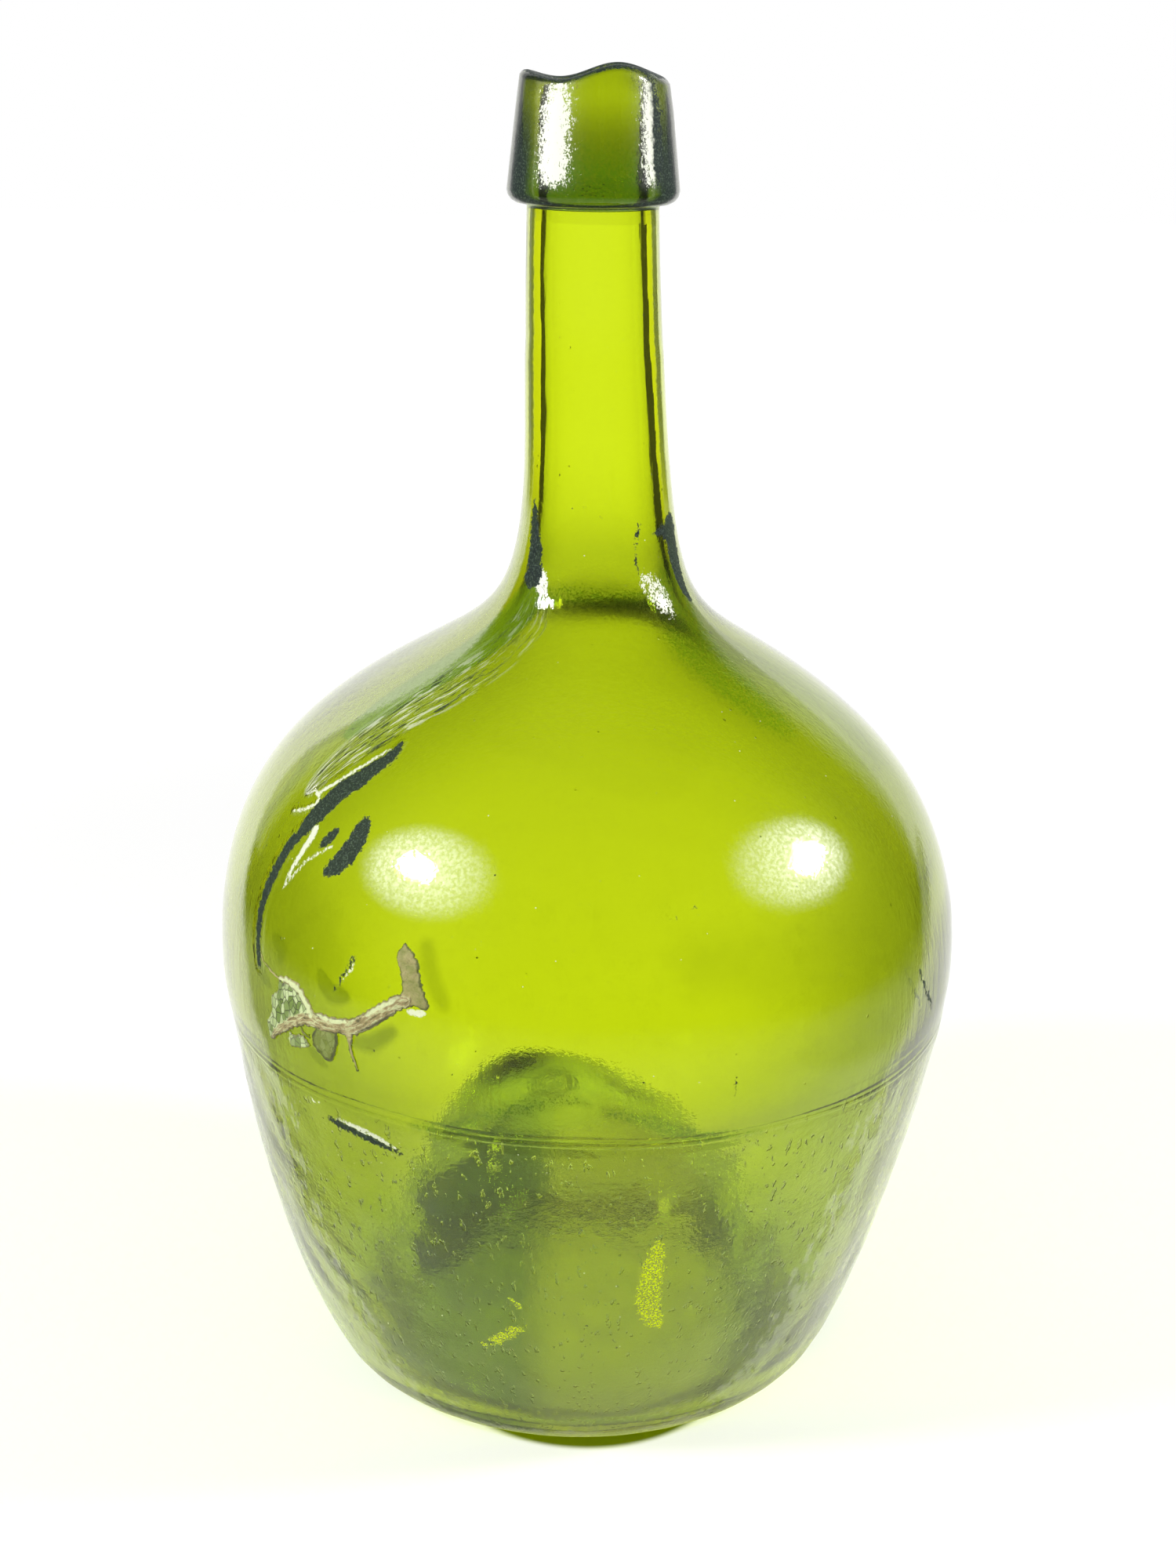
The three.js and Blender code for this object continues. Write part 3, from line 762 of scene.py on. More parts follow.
@dataclass(frozen=True)
class GlassFinish:
    """Old green glass, clear inside; outside a grainy skin, drawn marks, and painted shade, sheen and
    glints.

    What absorbing lacks of white, times the density, is what a metre of the glass takes up of each colour.
    A span is where a value starts to count and where it counts in full, and an end is where it fades out.
    """

    name: str = "green_glass"
    clear: Colour = (0.91, 1.0, 0.85)
    painted_shade_tint: Colour = (0.22, 0.27, 0.36)
    # Painted shade in the push-up: a yellower middle and darker teal sides.
    under: Colour = (1.0, 0.87, 0.6)
    hollow_side_shade: Colour = (0.2, 0.27, 0.64)
    ink_and_shade_tint: Colour = (0.04, 0.085, 0.12)
    # Whitish skin colour, for frost, scuffs and dust and for the painted sheen and glints.
    frost_and_sheen_colour: Colour = (0.76, 0.78, 0.66)
    slate: tuple[Colour, Colour] = ((0.014, 0.022, 0.02), (0.085, 0.12, 0.085))
    # Colour of the painted glints on the push-up.
    painted_glint: Colour = (0.72, 0.84, 0.01)
    mottle: Colour = (0.12, 0.24, 0.14)
    lamp_tint: Colour = (0.861, 0.898, 0.532)
    absorbing: Colour = (0.959, 0.966, 0.0)
    density: float = 380.0
    ior: float = 1.5
    coat_ior: float = 2.2
    roughness: float = 0.0
    haze_roughness: float = 0.47
    bloom_roughness: float = 0.6
    bloom_gloss: float = 0.1
    slate_share: float = 0.92
    painted_glint_share: float = 0.8
    painted_sheen_shares: Point = (0.22, 0.14)
    hammer_height: float = 0.13
    dent_height: float = 0.09
    pit_depth: float = 0.18
    draw_height: float = 0.05
    drag_height: float = 0.3
    seam_height: float = 0.09
    seed_height: float = 0.12
    groove_height: float = 0.35
    dots_per_mm: float = 0.075
    dust_per_mm: float = 0.15
    seeds_per_mm: float = 0.11
    seed_scale: Triple = (1, 1, 0.8)
    drag_stretch: Point = (0.09, 5.0)
    speckles: Grain = Grain(2.0, 3.0, 0.7)
    mottling: Grain = Grain(1.6, 3.0, 0.75)
    straying: Grain = Grain(0.7, 4.0, 0.7)
    hazing: Grain = Grain(1.0, 3.0, 0.65)
    veiling: Grain = Grain(0.9, 3.0, 0.6, 0.6)
    scuffing: Grain = Grain(2.0, 3.0, 0.7, 0.8)
    clouding: Grain = Grain(0.25, 4.0, 0.65, 0.5)
    dragging: Grain = Grain(1.0, 3.0, 0.65)
    hammering: Grain = Grain(0.13, 3.0, 0.5, 1.3)
    denting: Grain = Grain(0.4, 3.0, 0.6, 1.6)
    pitting: Grain = Grain(0.55, 2.0, 0.6, 0.45)
    graining: Grain = Grain(1.0, 2.0, 0.6)
    drawing: Grain = Grain(0.35, 2.0, 0.5, 0.12)
    speckle_span: Point = (0.48, 0.72)
    painted_glint_span: Point = (-0.3, 0.5)
    edge_span: Point = (0.06, 0.42)
    mottle_span: Point = (0.66, 0.8)
    mark_span: Point = (-0.15, 0.35)
    band_span: Point = (0.26, 0.44)
    band_end: Point = (0.62, 0.74)
    line_span: Point = (0.5, 0.55)
    line_end: Point = (0.64, 0.7)
    dot_span: Point = (0.014, 0.026)
    dark_drag_span: Point = (0.56, 0.62)
    pale_drag_span: Point = (0.53, 0.62)
    haze_span: Point = (0.36, 0.68)
    scuff_span: Point = (0.36, 0.52)
    dust_span: Point = (0.02, 0.04)
    painted_sheen_spans: tuple[Point, Point] = ((0.59, 0.63), (0.7, 0.9))
    pit_span: Point = (0.62, 0.7)
    ridge_span: Point = (0.2, 1.0)
    seed_span: Point = (0.02, 0.05)

    def make(self) -> bpy.types.Material:
        """Returns the material."""
        material = bpy.data.materials.new(self.name)
        shader = Shader(material)
        glass = shader.add("ShaderNodeBsdfPrincipled", None, {
            "Base Color": self.tint(shader),
            "Roughness": self.roughness,
            "IOR": self.ior,
            "Transmission Weight": 1.0,
            "Coat Weight": self.haze(shader),
            "Coat Roughness": self.haze_roughness,
            "Coat IOR": self.coat_ior,
            "Normal": self.relief(shader),
        })
        ink_and_painted_shade = self.ink_and_painted_shade(shader)
        speckle = shader.noise(self.speckles).between(*self.speckle_span)
        # Painted glints in the skin's colour.
        painted_glint = self.drawn(shader, Look.LIME) * speckle.between(*self.painted_glint_span)
        frost_and_sheen_colour = shader.blend(painted_glint.between(0.0, 0.1), self.frost_and_sheen_colour, self.painted_glint)
        slate = shader.blend(speckle, *self.slate)
        skin = shader.add("ShaderNodeBsdfPrincipled", None, {
            "Base Color": shader.blend(ink_and_painted_shade.between(0.0, 0.2), frost_and_sheen_colour, slate),
            "Roughness": self.bloom_roughness,
            "Specular IOR Level": self.bloom_gloss,
        })
        covered = self.frost_and_sheen(shader) | painted_glint * self.painted_glint_share | ink_and_painted_shade * self.slate_share
        glass_and_skin = shader.mix_shader(covered, glass, skin)
        through = shader.add("ShaderNodeBsdfTransparent", None, {"Color": (*self.lamp_tint, 1)})
        surface = shader.mix_shader(shader.ray("Shadow"), glass_and_skin, through)
        inside = shader.add("ShaderNodeVolumeAbsorption", None, {
            "Color": (*self.absorbing, 1), "Density": self.density})
        shader.add("ShaderNodeOutputMaterial", None, {"Surface": surface, "Volume": inside})
        return material

    def tint(self, shader: Shader) -> Value:
        """Returns the tint: painted shade by height, at the edges and in the push-up, and dark in the
        marks.
        """
        # Painted shade: the tint darkens towards the outline.
        edge = self.facing(shader).between(*self.edge_span) * shader.attribute("edge")
        light = shader.attribute("light") * (1 - edge)
        plain = shader.blend(light, self.painted_shade_tint, self.clear)
        # Painted shade in the push-up, standing in for the shadowed table under the bottle.
        painted_hollow_shade = shader.blend(shader.attribute("hollow_side_shade_share"), self.under, self.hollow_side_shade)
        below = shader.blend(shader.attribute("under"), plain, painted_hollow_shade)
        # The painted speckled shade also mottles the tint.
        grains = shader.noise(self.mottling) + shader.attribute(Look.SPECK.value) * 0.4
        below = shader.blend(grains.between(*self.mottle_span), below, self.mottle)
        return shader.blend(self.ink_and_painted_shade(shader), below, self.ink_and_shade_tint)

    @staticmethod
    def facing(shader: Shader) -> Value:
        """Returns 0 where the glass faces the eye and 1 at its outline."""
        return shader.add("ShaderNodeLayerWeight", None, {"Blend": 0.5}, output="Facing")

    def drawn(self, shader: Shader, look: Look) -> Value:
        """Returns how much of the marks of one look shows, with their rough edge."""
        per_mm, reach = ROUGH_EDGES[look]
        wobble = (shader.noise(Grain(per_mm, 5.0, 0.75)) - 0.5) * reach
        return (shader.attribute(look.value) + wobble).between(*self.mark_span)

    def drags(self, shader: Shader) -> Value:
        """Returns noise that is drawn out along the fan of streaks."""
        return shader.drawn_out("drag_along", "drag_across", self.drag_stretch, self.dragging)

    def ink_and_painted_shade(self, shader: Shader) -> Value:
        """Returns how dark the skin is: drawn marks, dots, drag streaks, and painted shade at the edges."""
        wobble = shader.noise(self.straying) - 0.5
        facing = self.facing(shader) + wobble * 0.1
        # Painted shade: a dark band on the collar's sides and a dark line on the neck's edges.
        band = facing.within(self.band_span, self.band_end) * shader.attribute("painted_collar_shade")
        line = facing.within(self.line_span, self.line_end) * shader.attribute("painted_neck_line")
        dots = (1 - shader.cells(self.dots_per_mm).between(*self.dot_span)) * 0.8
        streaks = self.drags(shader).between(*self.dark_drag_span) * shader.attribute("drag")
        total = self.drawn(shader, Look.DARK) | band | line | dots | streaks * 0.75
        return total * (1 - self.drawn(shader, Look.PALE))

    def haze(self, shader: Shader) -> Value:
        """Returns how much of the rough skin shows, in grains."""
        grain = shader.noise(self.hazing).between(*self.haze_span)
        return shader.attribute("haze") * (0.4 + 0.6 * grain) * (1 - 0.9 * self.ink_and_painted_shade(shader))

    def frost_and_sheen(self, shader: Shader) -> Value:
        """Returns how whitish the glass is: pale marks, scuffs, dust, and painted sheen at the outline."""
        grain = shader.noise(self.veiling)
        fine = shader.noise(self.scuffing)
        scar = shader.attribute("scar") * (0.25 + 0.3 * grain)
        scuffs_and_glints = shader.attribute(Look.SCUFF.value) * 0.75 + (fine - 0.5) * 1.3 + (grain - 0.5) * 0.8
        scuff_and_glint_share = scuffs_and_glints.between(*self.scuff_span)
        dust = (1 - shader.cells(self.dust_per_mm).between(*self.dust_span)) * shader.attribute("dusty")
        streaks = (1 - self.drags(shader)).between(*self.pale_drag_span) * shader.attribute("drag")
        pale = self.drawn(shader, Look.PALE) * 0.7 | scar | scuff_and_glint_share | dust | streaks * 0.4
        clouds = shader.noise(self.clouding) - 0.5
        # Painted sheen: a whitish grainy skin towards the outline, for the white surroundings it mirrors.
        facing = self.facing(shader) + (grain - 0.5) * 0.05 + shader.attribute("painted_sheen_wider")
        facing = facing + clouds * 0.5 * shader.attribute("hammered")
        first, second = (facing.between(*span) * share
                         for span, share in zip(self.painted_sheen_spans, self.painted_sheen_shares))
        return pale | (first + second) * shader.attribute("painted_sheen") * (0.4 + 0.6 * grain + 0.6 * fine)

    def relief(self, shader: Shader) -> Value:
        """Returns the normal bent by dimples, grooves, the seam, seeds and the fine grain."""
        pits = 1 - shader.noise(self.pitting).between(*self.pit_span)
        ridge = 1 - shader.maths("ABSOLUTE", shader.attribute("seam")).between(*self.ridge_span)
        seeds = shader.cells(self.seeds_per_mm, self.seed_scale).between(*self.seed_span)
        height = shader.noise(self.hammering) * self.hammer_height
        height = height + shader.noise(self.denting) * self.dent_height + pits * self.pit_depth
        height = height * shader.attribute("hammered")
        height = height + shader.noise(self.graining) * shader.attribute("grain")
        height = height + shader.noise(self.drawing) * self.draw_height
        height = height + ridge * self.seam_height + seeds * self.seed_height
        height = height + self.drags(shader) * shader.attribute("drag") * self.drag_height
        return shader.bump(height - shader.attribute(Look.GROOVE.value) * self.groove_height)


class Glass:
    """The blown body and the collar laid round its mouth, fused as one glass.

    The reaches and fades are pairs in millimetres, where a value starts to change and where it ends.
    """

    steps: int = 240
    soft_waves: HandWaves = HandWaves(45.0, 110.0, 0.3)
    hammer_waves: HandWaves = HandWaves(9.0, 22.0, 0.12, 40, 8)
    fan: Mark = Mark(FAN, (3.0, 8.5, 1.0))
    fan_start: Point = (20.0, 42.0)
    fan_edge: float = 1.5
    fine_zone: Patch = (-80.0, -18.0, 100.0, 262.0)
    fine_cuts: int = 2
    seam_fade: Point = (-3.0, 2.0)
    neck_fade: Point = (-50.0, -15.0)
    widest_fade: Point = (-2.0, -0.5)
    middle_reach: Point = (15.0, 50.0)
    high_reach: Point = (186.0, 222.0)
    glow_spots: tuple[Point, ...] = ((-26.0, 182.4), (35.6, 183.2))
    glow_reach: Point = (14.0, 22.0)
    glow_squash: float = 1.6
    hollow_middle: float = 3.0
    hollow_left: Point = (8.0, 22.0)
    hollow_right: Point = (28.0, 44.0)
    scar_reach: Point = (11.0, 24.0)
    # Where the collar's painted highlight runs down its sides.
    collar_highlight_bands: tuple[Point, Point] = ((-31.0, 14.0), (44.0, 13.0))
    rim_line: float = 0.9

    def __init__(self, sizes: BottleSizes, finish: GlassFinish) -> None:
        """Keeps the sizes, the profile and the finish."""
        self.sizes = sizes
        self.profile = Profile(sizes)
        self.finish = finish

    def build(self) -> bpy.types.Object:
        """Returns the finished glass, riding on the frame."""
        glass = self.spin()
        self.refine(glass)
        self.shape(glass)
        glass.data.materials.append(self.finish.make())
        activate(glass)
        bpy.ops.object.shade_smooth()
        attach(glass, "root")
        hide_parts("blown_body", "applied_collar")
        return glass

    def spin(self) -> bpy.types.Object:
        """Returns the profile spun into a closed body, each vertex with its run along the profile."""
        points = [Vector((p.x * MM, 0, p.y * MM)) for p in self.profile.points()]
        deselect_all()
        bpy.ops.mesh.primitive_plane_add(size=MM, location=points[0])
        glass = bpy.context.active_object
        glass.name = "demijohn_glass"
        bpy.ops.object.transform_apply(location=True, rotation=True, scale=True)
        bpy.ops.object.mode_set(mode="EDIT")
        bpy.ops.mesh.select_mode(type="VERT")
        bpy.ops.mesh.merge(type="CENTER")
        for before, after in zip(points, points[1:]):
            bpy.ops.mesh.extrude_region_move(TRANSFORM_OT_translate={"value": after - before})
        bpy.ops.object.mode_set(mode="OBJECT")
        write_values(glass, "run", np.arange(len(points)))
        bpy.ops.object.mode_set(mode="EDIT")
        bpy.ops.mesh.select_all(action="SELECT")
        bpy.ops.mesh.spin(steps=self.steps, angle=FULL_TURN, center=(0, 0, 0), axis=(0, 0, 1))
        bpy.ops.mesh.select_all(action="SELECT")
        bpy.ops.mesh.remove_doubles(threshold=1e-6)
        bpy.ops.mesh.normals_make_consistent(inside=False)
        bpy.ops.object.mode_set(mode="OBJECT")
        return glass

    def refine(self, glass: bpy.types.Object) -> None:
        """Divides the outside's faces where the drawn marks are."""
        centres = read_places(glass.data.polygons, "center") / MM
        azimuth = np.degrees(np.arctan2(centres[:, 0], -centres[:, 1]))
        left, right, low, high = self.fine_zone
        wall = self.sizes.body_wall / 2
        radius = np.hypot(centres[:, 0], centres[:, 1])
        skin = np.linalg.norm(self.on_glass(azimuth, centres[:, 2])[:, :2], axis=1)
        chosen = (azimuth > left) & (azimuth < right) & (centres[:, 2] > low) & (centres[:, 2] < high)
        select_faces(glass, chosen & (radius > skin - wall))
        bpy.ops.object.mode_set(mode="EDIT")
        bpy.ops.mesh.select_mode(type="FACE")
        bpy.ops.mesh.subdivide(number_cuts=self.fine_cuts)
        bpy.ops.object.mode_set(mode="OBJECT")

    def shape(self, glass: bpy.types.Object) -> None:
        """Puts every vertex on the profile's true curve, then gives the glass what the hand gave it."""
        s = self.sizes
        run = read_values(glass, "run")
        flat = read_places(glass.data.vertices, "co")
        turn = np.arctan2(flat[:, 1], flat[:, 0])
        radius, height, out_share, up_share = self.profile.at(run)
        ways = np.column_stack([np.cos(turn) * out_share, np.sin(turn) * out_share, up_share])
        places = np.column_stack([np.cos(turn) * radius, np.sin(turn) * radius, height])
        walls = {wall: self.profile.wall_mask(run, wall) for wall in Wall}
        push_up_top = run > self.profile.ends[-2]
        kick = walls[Wall.UNDERSIDE] | push_up_top
        places[:, 0] += np.where(kick, s.kick_sway_at(height), s.sway_at(height))
        self.wave_rim(places)
        widest = ease(radius - s.body_radius, *self.widest_fade)
        free = ease(height, 1.0, s.valley_radius) * (1 - widest)
        blown = (walls[Wall.OUTSIDE] | walls[Wall.INSIDE]) & (height < s.neck_start)
        hammered = walls[Wall.OUTSIDE] * self.below_seam(height) + walls[Wall.UNDERSIDE]
        rise = self.soft_waves.at(places) * blown + self.hammer_waves.at(places) * hammered
        places += ways * (rise * free)[:, None]
        write_points(glass, places * MM)
        values = self.looks_at(places, turn, radius, height, walls)
        for name, held in values.items():
            write_values(glass, name, held)

    def below_seam(self, height: np.ndarray) -> np.ndarray:
        """Returns 1 below the mould's seam and 0 above it."""
        return 1 - ease(height - self.sizes.seam_height, *self.seam_fade)

    def looks_at(self, places: np.ndarray, turn: np.ndarray, radius: np.ndarray, height: np.ndarray,
                 walls: dict[Wall, np.ndarray]) -> dict[str, np.ndarray]:
        """Returns what the finish needs to know of each place, by name.

        Args:
            places: the vertices' places.
            turn: how far each one is turned round the axis, from +X.
            radius: its radius on the profile.
            height: its height on the profile.
            walls: for each skin, whether the vertex lies on it.
        """
        s = self.sizes
        outside, collar, under = (walls[wall] for wall in (Wall.OUTSIDE, Wall.COLLAR, Wall.UNDERSIDE))
        across = places[:, 0]
        body = outside * (1 - ease(height - s.neck_start, *self.neck_fade))
        neck = outside - body
        below = self.below_seam(height)
        outer = ease(np.abs(across), *self.middle_reach)
        to_right = ease(across, 0, s.body_radius)
        high = ease(height, *self.high_reach) * (across < 0)
        left_low = ease(-across, 0, self.middle_reach[1]) * (1 - high)
        beside = across - self.hollow_middle
        # The collar's streaks: painted highlight, with a rough coat under it.
        streaks = self.collar_highlights_at(places, height)
        on_collar = height - s.collar_height
        # Painted sheen towards the outline, less low down and on the right.
        painted_sheen = 1 - 0.25 * below - 0.6 * to_right * (1 - below) - 0.1 * to_right * below
        values = {
            "hammered": outside * below + 0.6 * under,
            # Where the push-up's painted shade lies, and how far it turns teal towards the sides.
            "under": under * ease(radius, 0, 2),
            "hollow_side_shade_share": ease(-beside, *self.hollow_left) + 0.8 * ease(beside, *self.hollow_right),
            "seam": height - self.seam_at(turn),
            "haze": (body * (0.015 + 0.07 * below * outer + 0.9 * self.glow_at(places))
                     + collar * (0.04 + 0.9 * streaks) + neck * 0.02),
            "grain": body * 0.035 + collar * (0.04 + 0.1 * streaks) + neck * 0.005,
            # How much painted shade each part gets towards its outline.
            "edge": body * (0.8 + 0.1 * to_right) + collar + neck * 0.35,
            "scar": under * (1 - ease(radius, *self.scar_reach)),
            # Painted shade on the collar's sides, strongest low down, and a painted dark line on the neck.
            "painted_collar_shade": collar * (1 - 0.7 * ease(on_collar, 9, s.collar_rise - 6)),
            "painted_neck_line": neck * 0.6,
            "painted_sheen": body * painted_sheen + collar * 0.4 + neck * 0.7,
            "painted_sheen_wider": body * (0.1 * high - 0.05 * left_low),
            "dusty": body * 0.5,
        }
        values |= self.marks_at(places, outside)
        dark, scuff_and_glint, speckled_shade, shade = (
            look.value for look in (Look.DARK, Look.SCUFF, Look.SPECK, Look.SHADE))
        line = np.where(collar, self.rim_line - (s.rim_height - height), NO_MARK)
        values[dark] = np.maximum(values[dark], line)
        # The collar's streaks add painted highlight, and the lower body's sides a faint grainy whitening.
        values[scuff_and_glint] = np.maximum(values[scuff_and_glint] + collar * streaks, outside * below * outer * 0.12)
        # Painted shade: lighter or darker by height, and darker in the shade and speckled shade marks.
        values["light"] = self.painted_light_at(height, collar) - values[shade] - 0.8 * values[speckled_shade]
        # Painted speckled shade low on the collar.
        values[speckled_shade] = values[speckled_shade] + collar * 0.7 * (1 - ease(on_collar, 4, 24))
        return values

    def glow_at(self, places: np.ndarray) -> np.ndarray:
        """Returns how cloudy the glass is at each place, round the spots that mirror the lamps."""
        glow = np.zeros(len(places))
        for spot in self.on_glass(*np.array(self.glow_spots).T):
            round_way = np.array((-spot[1], spot[0], 0)) / np.hypot(*spot[:2])
            across = (places - spot) @ round_way
            along = np.linalg.norm(places - spot - across[:, None] * round_way, axis=1)
            away = np.hypot(across, along * self.glow_squash)
            glow = np.maximum(glow, 1 - ease(away, *self.glow_reach))
        return glow

    def collar_highlights_at(self, places: np.ndarray, height: np.ndarray) -> np.ndarray:
        """Returns the collar's streaks: a rough coat that mirrors the lamps, and painted highlight."""
        s = self.sizes
        azimuth = np.degrees(np.arctan2(places[:, 0], -places[:, 1]))
        streaks = sum(np.exp(-((azimuth - middle) / width) ** 2) for middle, width in self.collar_highlight_bands)
        on_collar = height - s.collar_height
        fading = 1 - 0.3 * ease(on_collar, s.collar_rise - 12, s.collar_rise - 3)
        return streaks * ease(on_collar, 2, 9) * fading

    def painted_light_at(self, height: np.ndarray, collar: np.ndarray) -> np.ndarray:
        """Returns painted shade as how light the glass is at each height, darkest low on the collar."""
        s = self.sizes
        stations = ((0, 0.9), (s.seam_height, 0.9), (150, 1), (185, 0.95), (205, 0.82),
                    (225, 0.74), (245, 0.66), (258, 0.92), (275, 1), (s.collar_height, 1))
        light = np.interp(height, *zip(*stations))
        low = 0.6 * ease(height, s.collar_height + 12, s.rim_height - 3)
        return np.where(collar, low, light)

    def seam_at(self, turn: np.ndarray) -> np.ndarray:
        """Returns the height of the mould's seam ring at each turn."""
        return self.sizes.seam_height + 0.5 * np.sin(3 * turn + 1) + 0.25 * np.sin(11 * turn)

    def on_glass(self, azimuth: np.ndarray, height: np.ndarray) -> np.ndarray:
        """Returns the places on the outside for azimuths in degrees from the front, and heights."""
        outside = self.profile.wall_mask(self.profile.table[:, 0], Wall.OUTSIDE)
        radius = np.interp(height, self.profile.table[outside, 2], self.profile.table[outside, 1])
        turn = np.radians(azimuth)
        return np.column_stack([
            self.sizes.sway_at(height) + radius * np.sin(turn), -radius * np.cos(turn), height])

    def marks_at(self, places: np.ndarray, outside: np.ndarray) -> dict[str, np.ndarray]:
        """Returns how far each place of the outside lies within the marks, by the name of their look."""
        near = outside & (places[:, 1] < 0)
        depth, along, across = np.zeros((3, len(places)))
        depth[near], along[near], across[near] = self.fan.lie(places[near], self.on_glass)
        strength = 0.35 + 0.65 * ease(along, *self.fan_start)
        values = {
            "drag": near * strength * ease(depth, 0, self.fan_edge),
            "drag_along": along,
            "drag_across": np.clip(across, -1.5, 1.5),
        }
        for look, marks in MARKS.items():
            sharp = look in ROUGH_EDGES
            strongest = np.full(len(places), NO_MARK if sharp else 0.0)
            for mark in marks:
                depth = mark.lie(places[near], self.on_glass)[0]
                if not sharp:
                    depth = mark.depth * ease(depth, -mark.soft, 0)
                strongest[near] = np.maximum(strongest[near], depth)
            values[look.value] = strongest
        return values

    def wave_rim(self, places: np.ndarray) -> None:
        """Lowers the rim in the wave that it was tooled to, less and less down to the end of the neck."""
        s = self.sizes
        across = places[:, 0] - s.mouth_sway
        wave = (1 - np.cos(np.pi * (across - s.rim_crest_x) / (s.rim_crest_x - s.rim_dip_x))) / 2
        share = np.clip((places[:, 2] - s.neck_end) / s.lip_rise, 0, 1)
        places[:, 2] -= s.rim_drop * wave * share


@dataclass(frozen=True)
class CrustFinish:
    """Stony crust: olive beige, striped on the ridge, brown along its edges and in its cracks."""

    name: str = "stony_crust"
    tones: tuple[Colour, ...] = ((0.16, 0.2, 0.02), (0.42, 0.36, 0.15), (0.6, 0.66, 0.34))
    brown: Colour = (0.035, 0.035, 0.014)
    stripes: tuple[tuple[float, Colour], ...] = (
        (0.33, (0.03, 0.028, 0.012)), (0.4, (0.2, 0.18, 0.06)), (0.5, (0.36, 0.28, 0.12)),
        (0.58, (0.56, 0.6, 0.3)), (0.68, (0.26, 0.25, 0.07)))
    flakes: tuple[Colour, Colour] = ((0.14, 0.22, 0.03), (0.52, 0.62, 0.3))
    roughness: float = 0.5
    relief: float = 0.3
    fine: Grain = Grain(1.8, 4.0, 0.7)
    broad: Grain = Grain(0.3, 3.0, 0.6, 1.4)
    lines: Grain = Grain(1.6, 4.0, 0.7)
    line_stretch: Point = (0.14, 1.3)
    facets_per_mm: float = 0.5
    facet_scale: Triple = (1, 1.3, 0.8)
    tone_spans: tuple[Point, Point] = ((0.1, 0.5), (0.55, 0.9))
    facet_span: Point = (0.02, 0.09)
    speckle_span: Point = (0.5, 0.75)
    rim_span: Point = (0.15, 0.6)

    def make(self) -> bpy.types.Material:
        """Returns the material."""
        material = bpy.data.materials.new(self.name)
        shader = Shader(material)
        fine = shader.noise(self.fine)
        broad = shader.noise(self.broad)
        tone = shader.attribute("tone") + (broad - 0.5) * 0.5
        first = shader.blend(tone.between(*self.tone_spans[0]), *self.tones[:2])
        colour = shader.blend(tone.between(*self.tone_spans[1]), first, self.tones[2])
        lines = shader.drawn_out("along", "across", self.line_stretch, self.lines)
        striped = shader.add("ShaderNodeValToRGB", {"stops": self.stripes}, {"Fac": lines})
        colour = shader.blend(shader.attribute("striped"), colour, striped)
        facets = shader.cells(self.facets_per_mm, self.facet_scale, "Color")
        sides = shader.cells(self.facets_per_mm, self.facet_scale, feature="DISTANCE_TO_EDGE")
        shade = shader.add("ShaderNodeSeparateColor", None, {"Color": facets})
        flakes = shader.blend(shade.between(0.0, 1.0), *self.flakes)
        flakes = shader.blend((1 - sides.between(*self.facet_span)) * 0.8, flakes, self.brown)
        colour = shader.blend(shader.attribute("flaky"), colour, flakes)
        speckled = shader.blend(fine.between(*self.speckle_span) * 0.35, colour, self.brown)
        rim = 1 - (shader.attribute("depth") + (fine - 0.5) * 0.9).between(*self.rim_span)
        dark = rim * shader.attribute("outline") | shader.attribute("crack")
        height = fine + broad + lines * shader.attribute("striped") * 2.0
        stone = shader.add("ShaderNodeBsdfPrincipled", None, {
            "Base Color": shader.blend(dark * 0.85, speckled, self.brown),
            "Roughness": self.roughness,
            "Normal": shader.bump(height * self.relief),
        })
        shader.add("ShaderNodeOutputMaterial", None, {"Surface": stone})
        return material


@dataclass(frozen=True)
class CrustPart:
    """One outline or one line of the crust, its tone from olive to whitish, and how high it stands."""

    places: tuple[Point, ...]
    tone: float
    rise: float
    half_widths: Triple | None = None
    outline: float = 1.0
    crack: float = 0.0
    striped: float = 0.0
    flaky: float = 0.0


BAR = ((-26.6, 165.6), (-27.6, 163.3), (-27.7, 161.6), (-27.0, 159.3), (-26.4, 156.2), (-26.3, 153.2),
       (-26.8, 151.5), (-26.0, 149.2), (-24.1, 150.4), (-22.4, 149.7), (-22.0, 151.1), (-22.6, 154.2),
       (-23.5, 157.2), (-23.9, 160.3), (-24.9, 163.5), (-26.0, 164.8))
RIDGE = ((-52.3, 125.3), (-50.9, 128.2), (-49.1, 130.9), (-46.3, 134.6), (-43.7, 137.2), (-41.6, 137.9),
         (-39.6, 138.3), (-37.7, 138.7), (-35.9, 139.4), (-34.2, 140.3), (-32.5, 142.2), (-30.6, 144.9),
         (-28.8, 147.7), (-27.0, 150.1), (-25.5, 151.3))
ARC = ((-50.2, 144.5), (-48.8, 145.2), (-47.2, 145.3), (-45.6, 144.8), (-44.7, 143.9), (-43.9, 142.5),
       (-43.0, 140.9), (-42.2, 139.2))
FLAKES = ((-50.2, 143.9), (-47.5, 144.7), (-45.4, 143.6), (-44.1, 141.4), (-42.6, 139.3), (-43.7, 137.5),
          (-45.9, 135.6), (-48.7, 132.1), (-51.2, 128.1), (-52.6, 125.1), (-53.1, 127.1), (-53.4, 129.8),
          (-51.8, 134.3), (-52.3, 137.7), (-50.3, 141.1))
LOW_FLAKE = ((-47.3, 131.1), (-47.8, 128.4), (-46.9, 126.8), (-44.6, 127.8), (-42.7, 129.6), (-43.2, 131.3),
             (-45.0, 132.0), (-45.9, 130.6))
CELL = ((-40.9, 136.6), (-42.0, 133.0), (-41.7, 130.8), (-40.4, 129.3), (-39.4, 128.2), (-38.3, 128.6),
        (-37.6, 131.4), (-37.2, 134.5), (-37.3, 137.2))
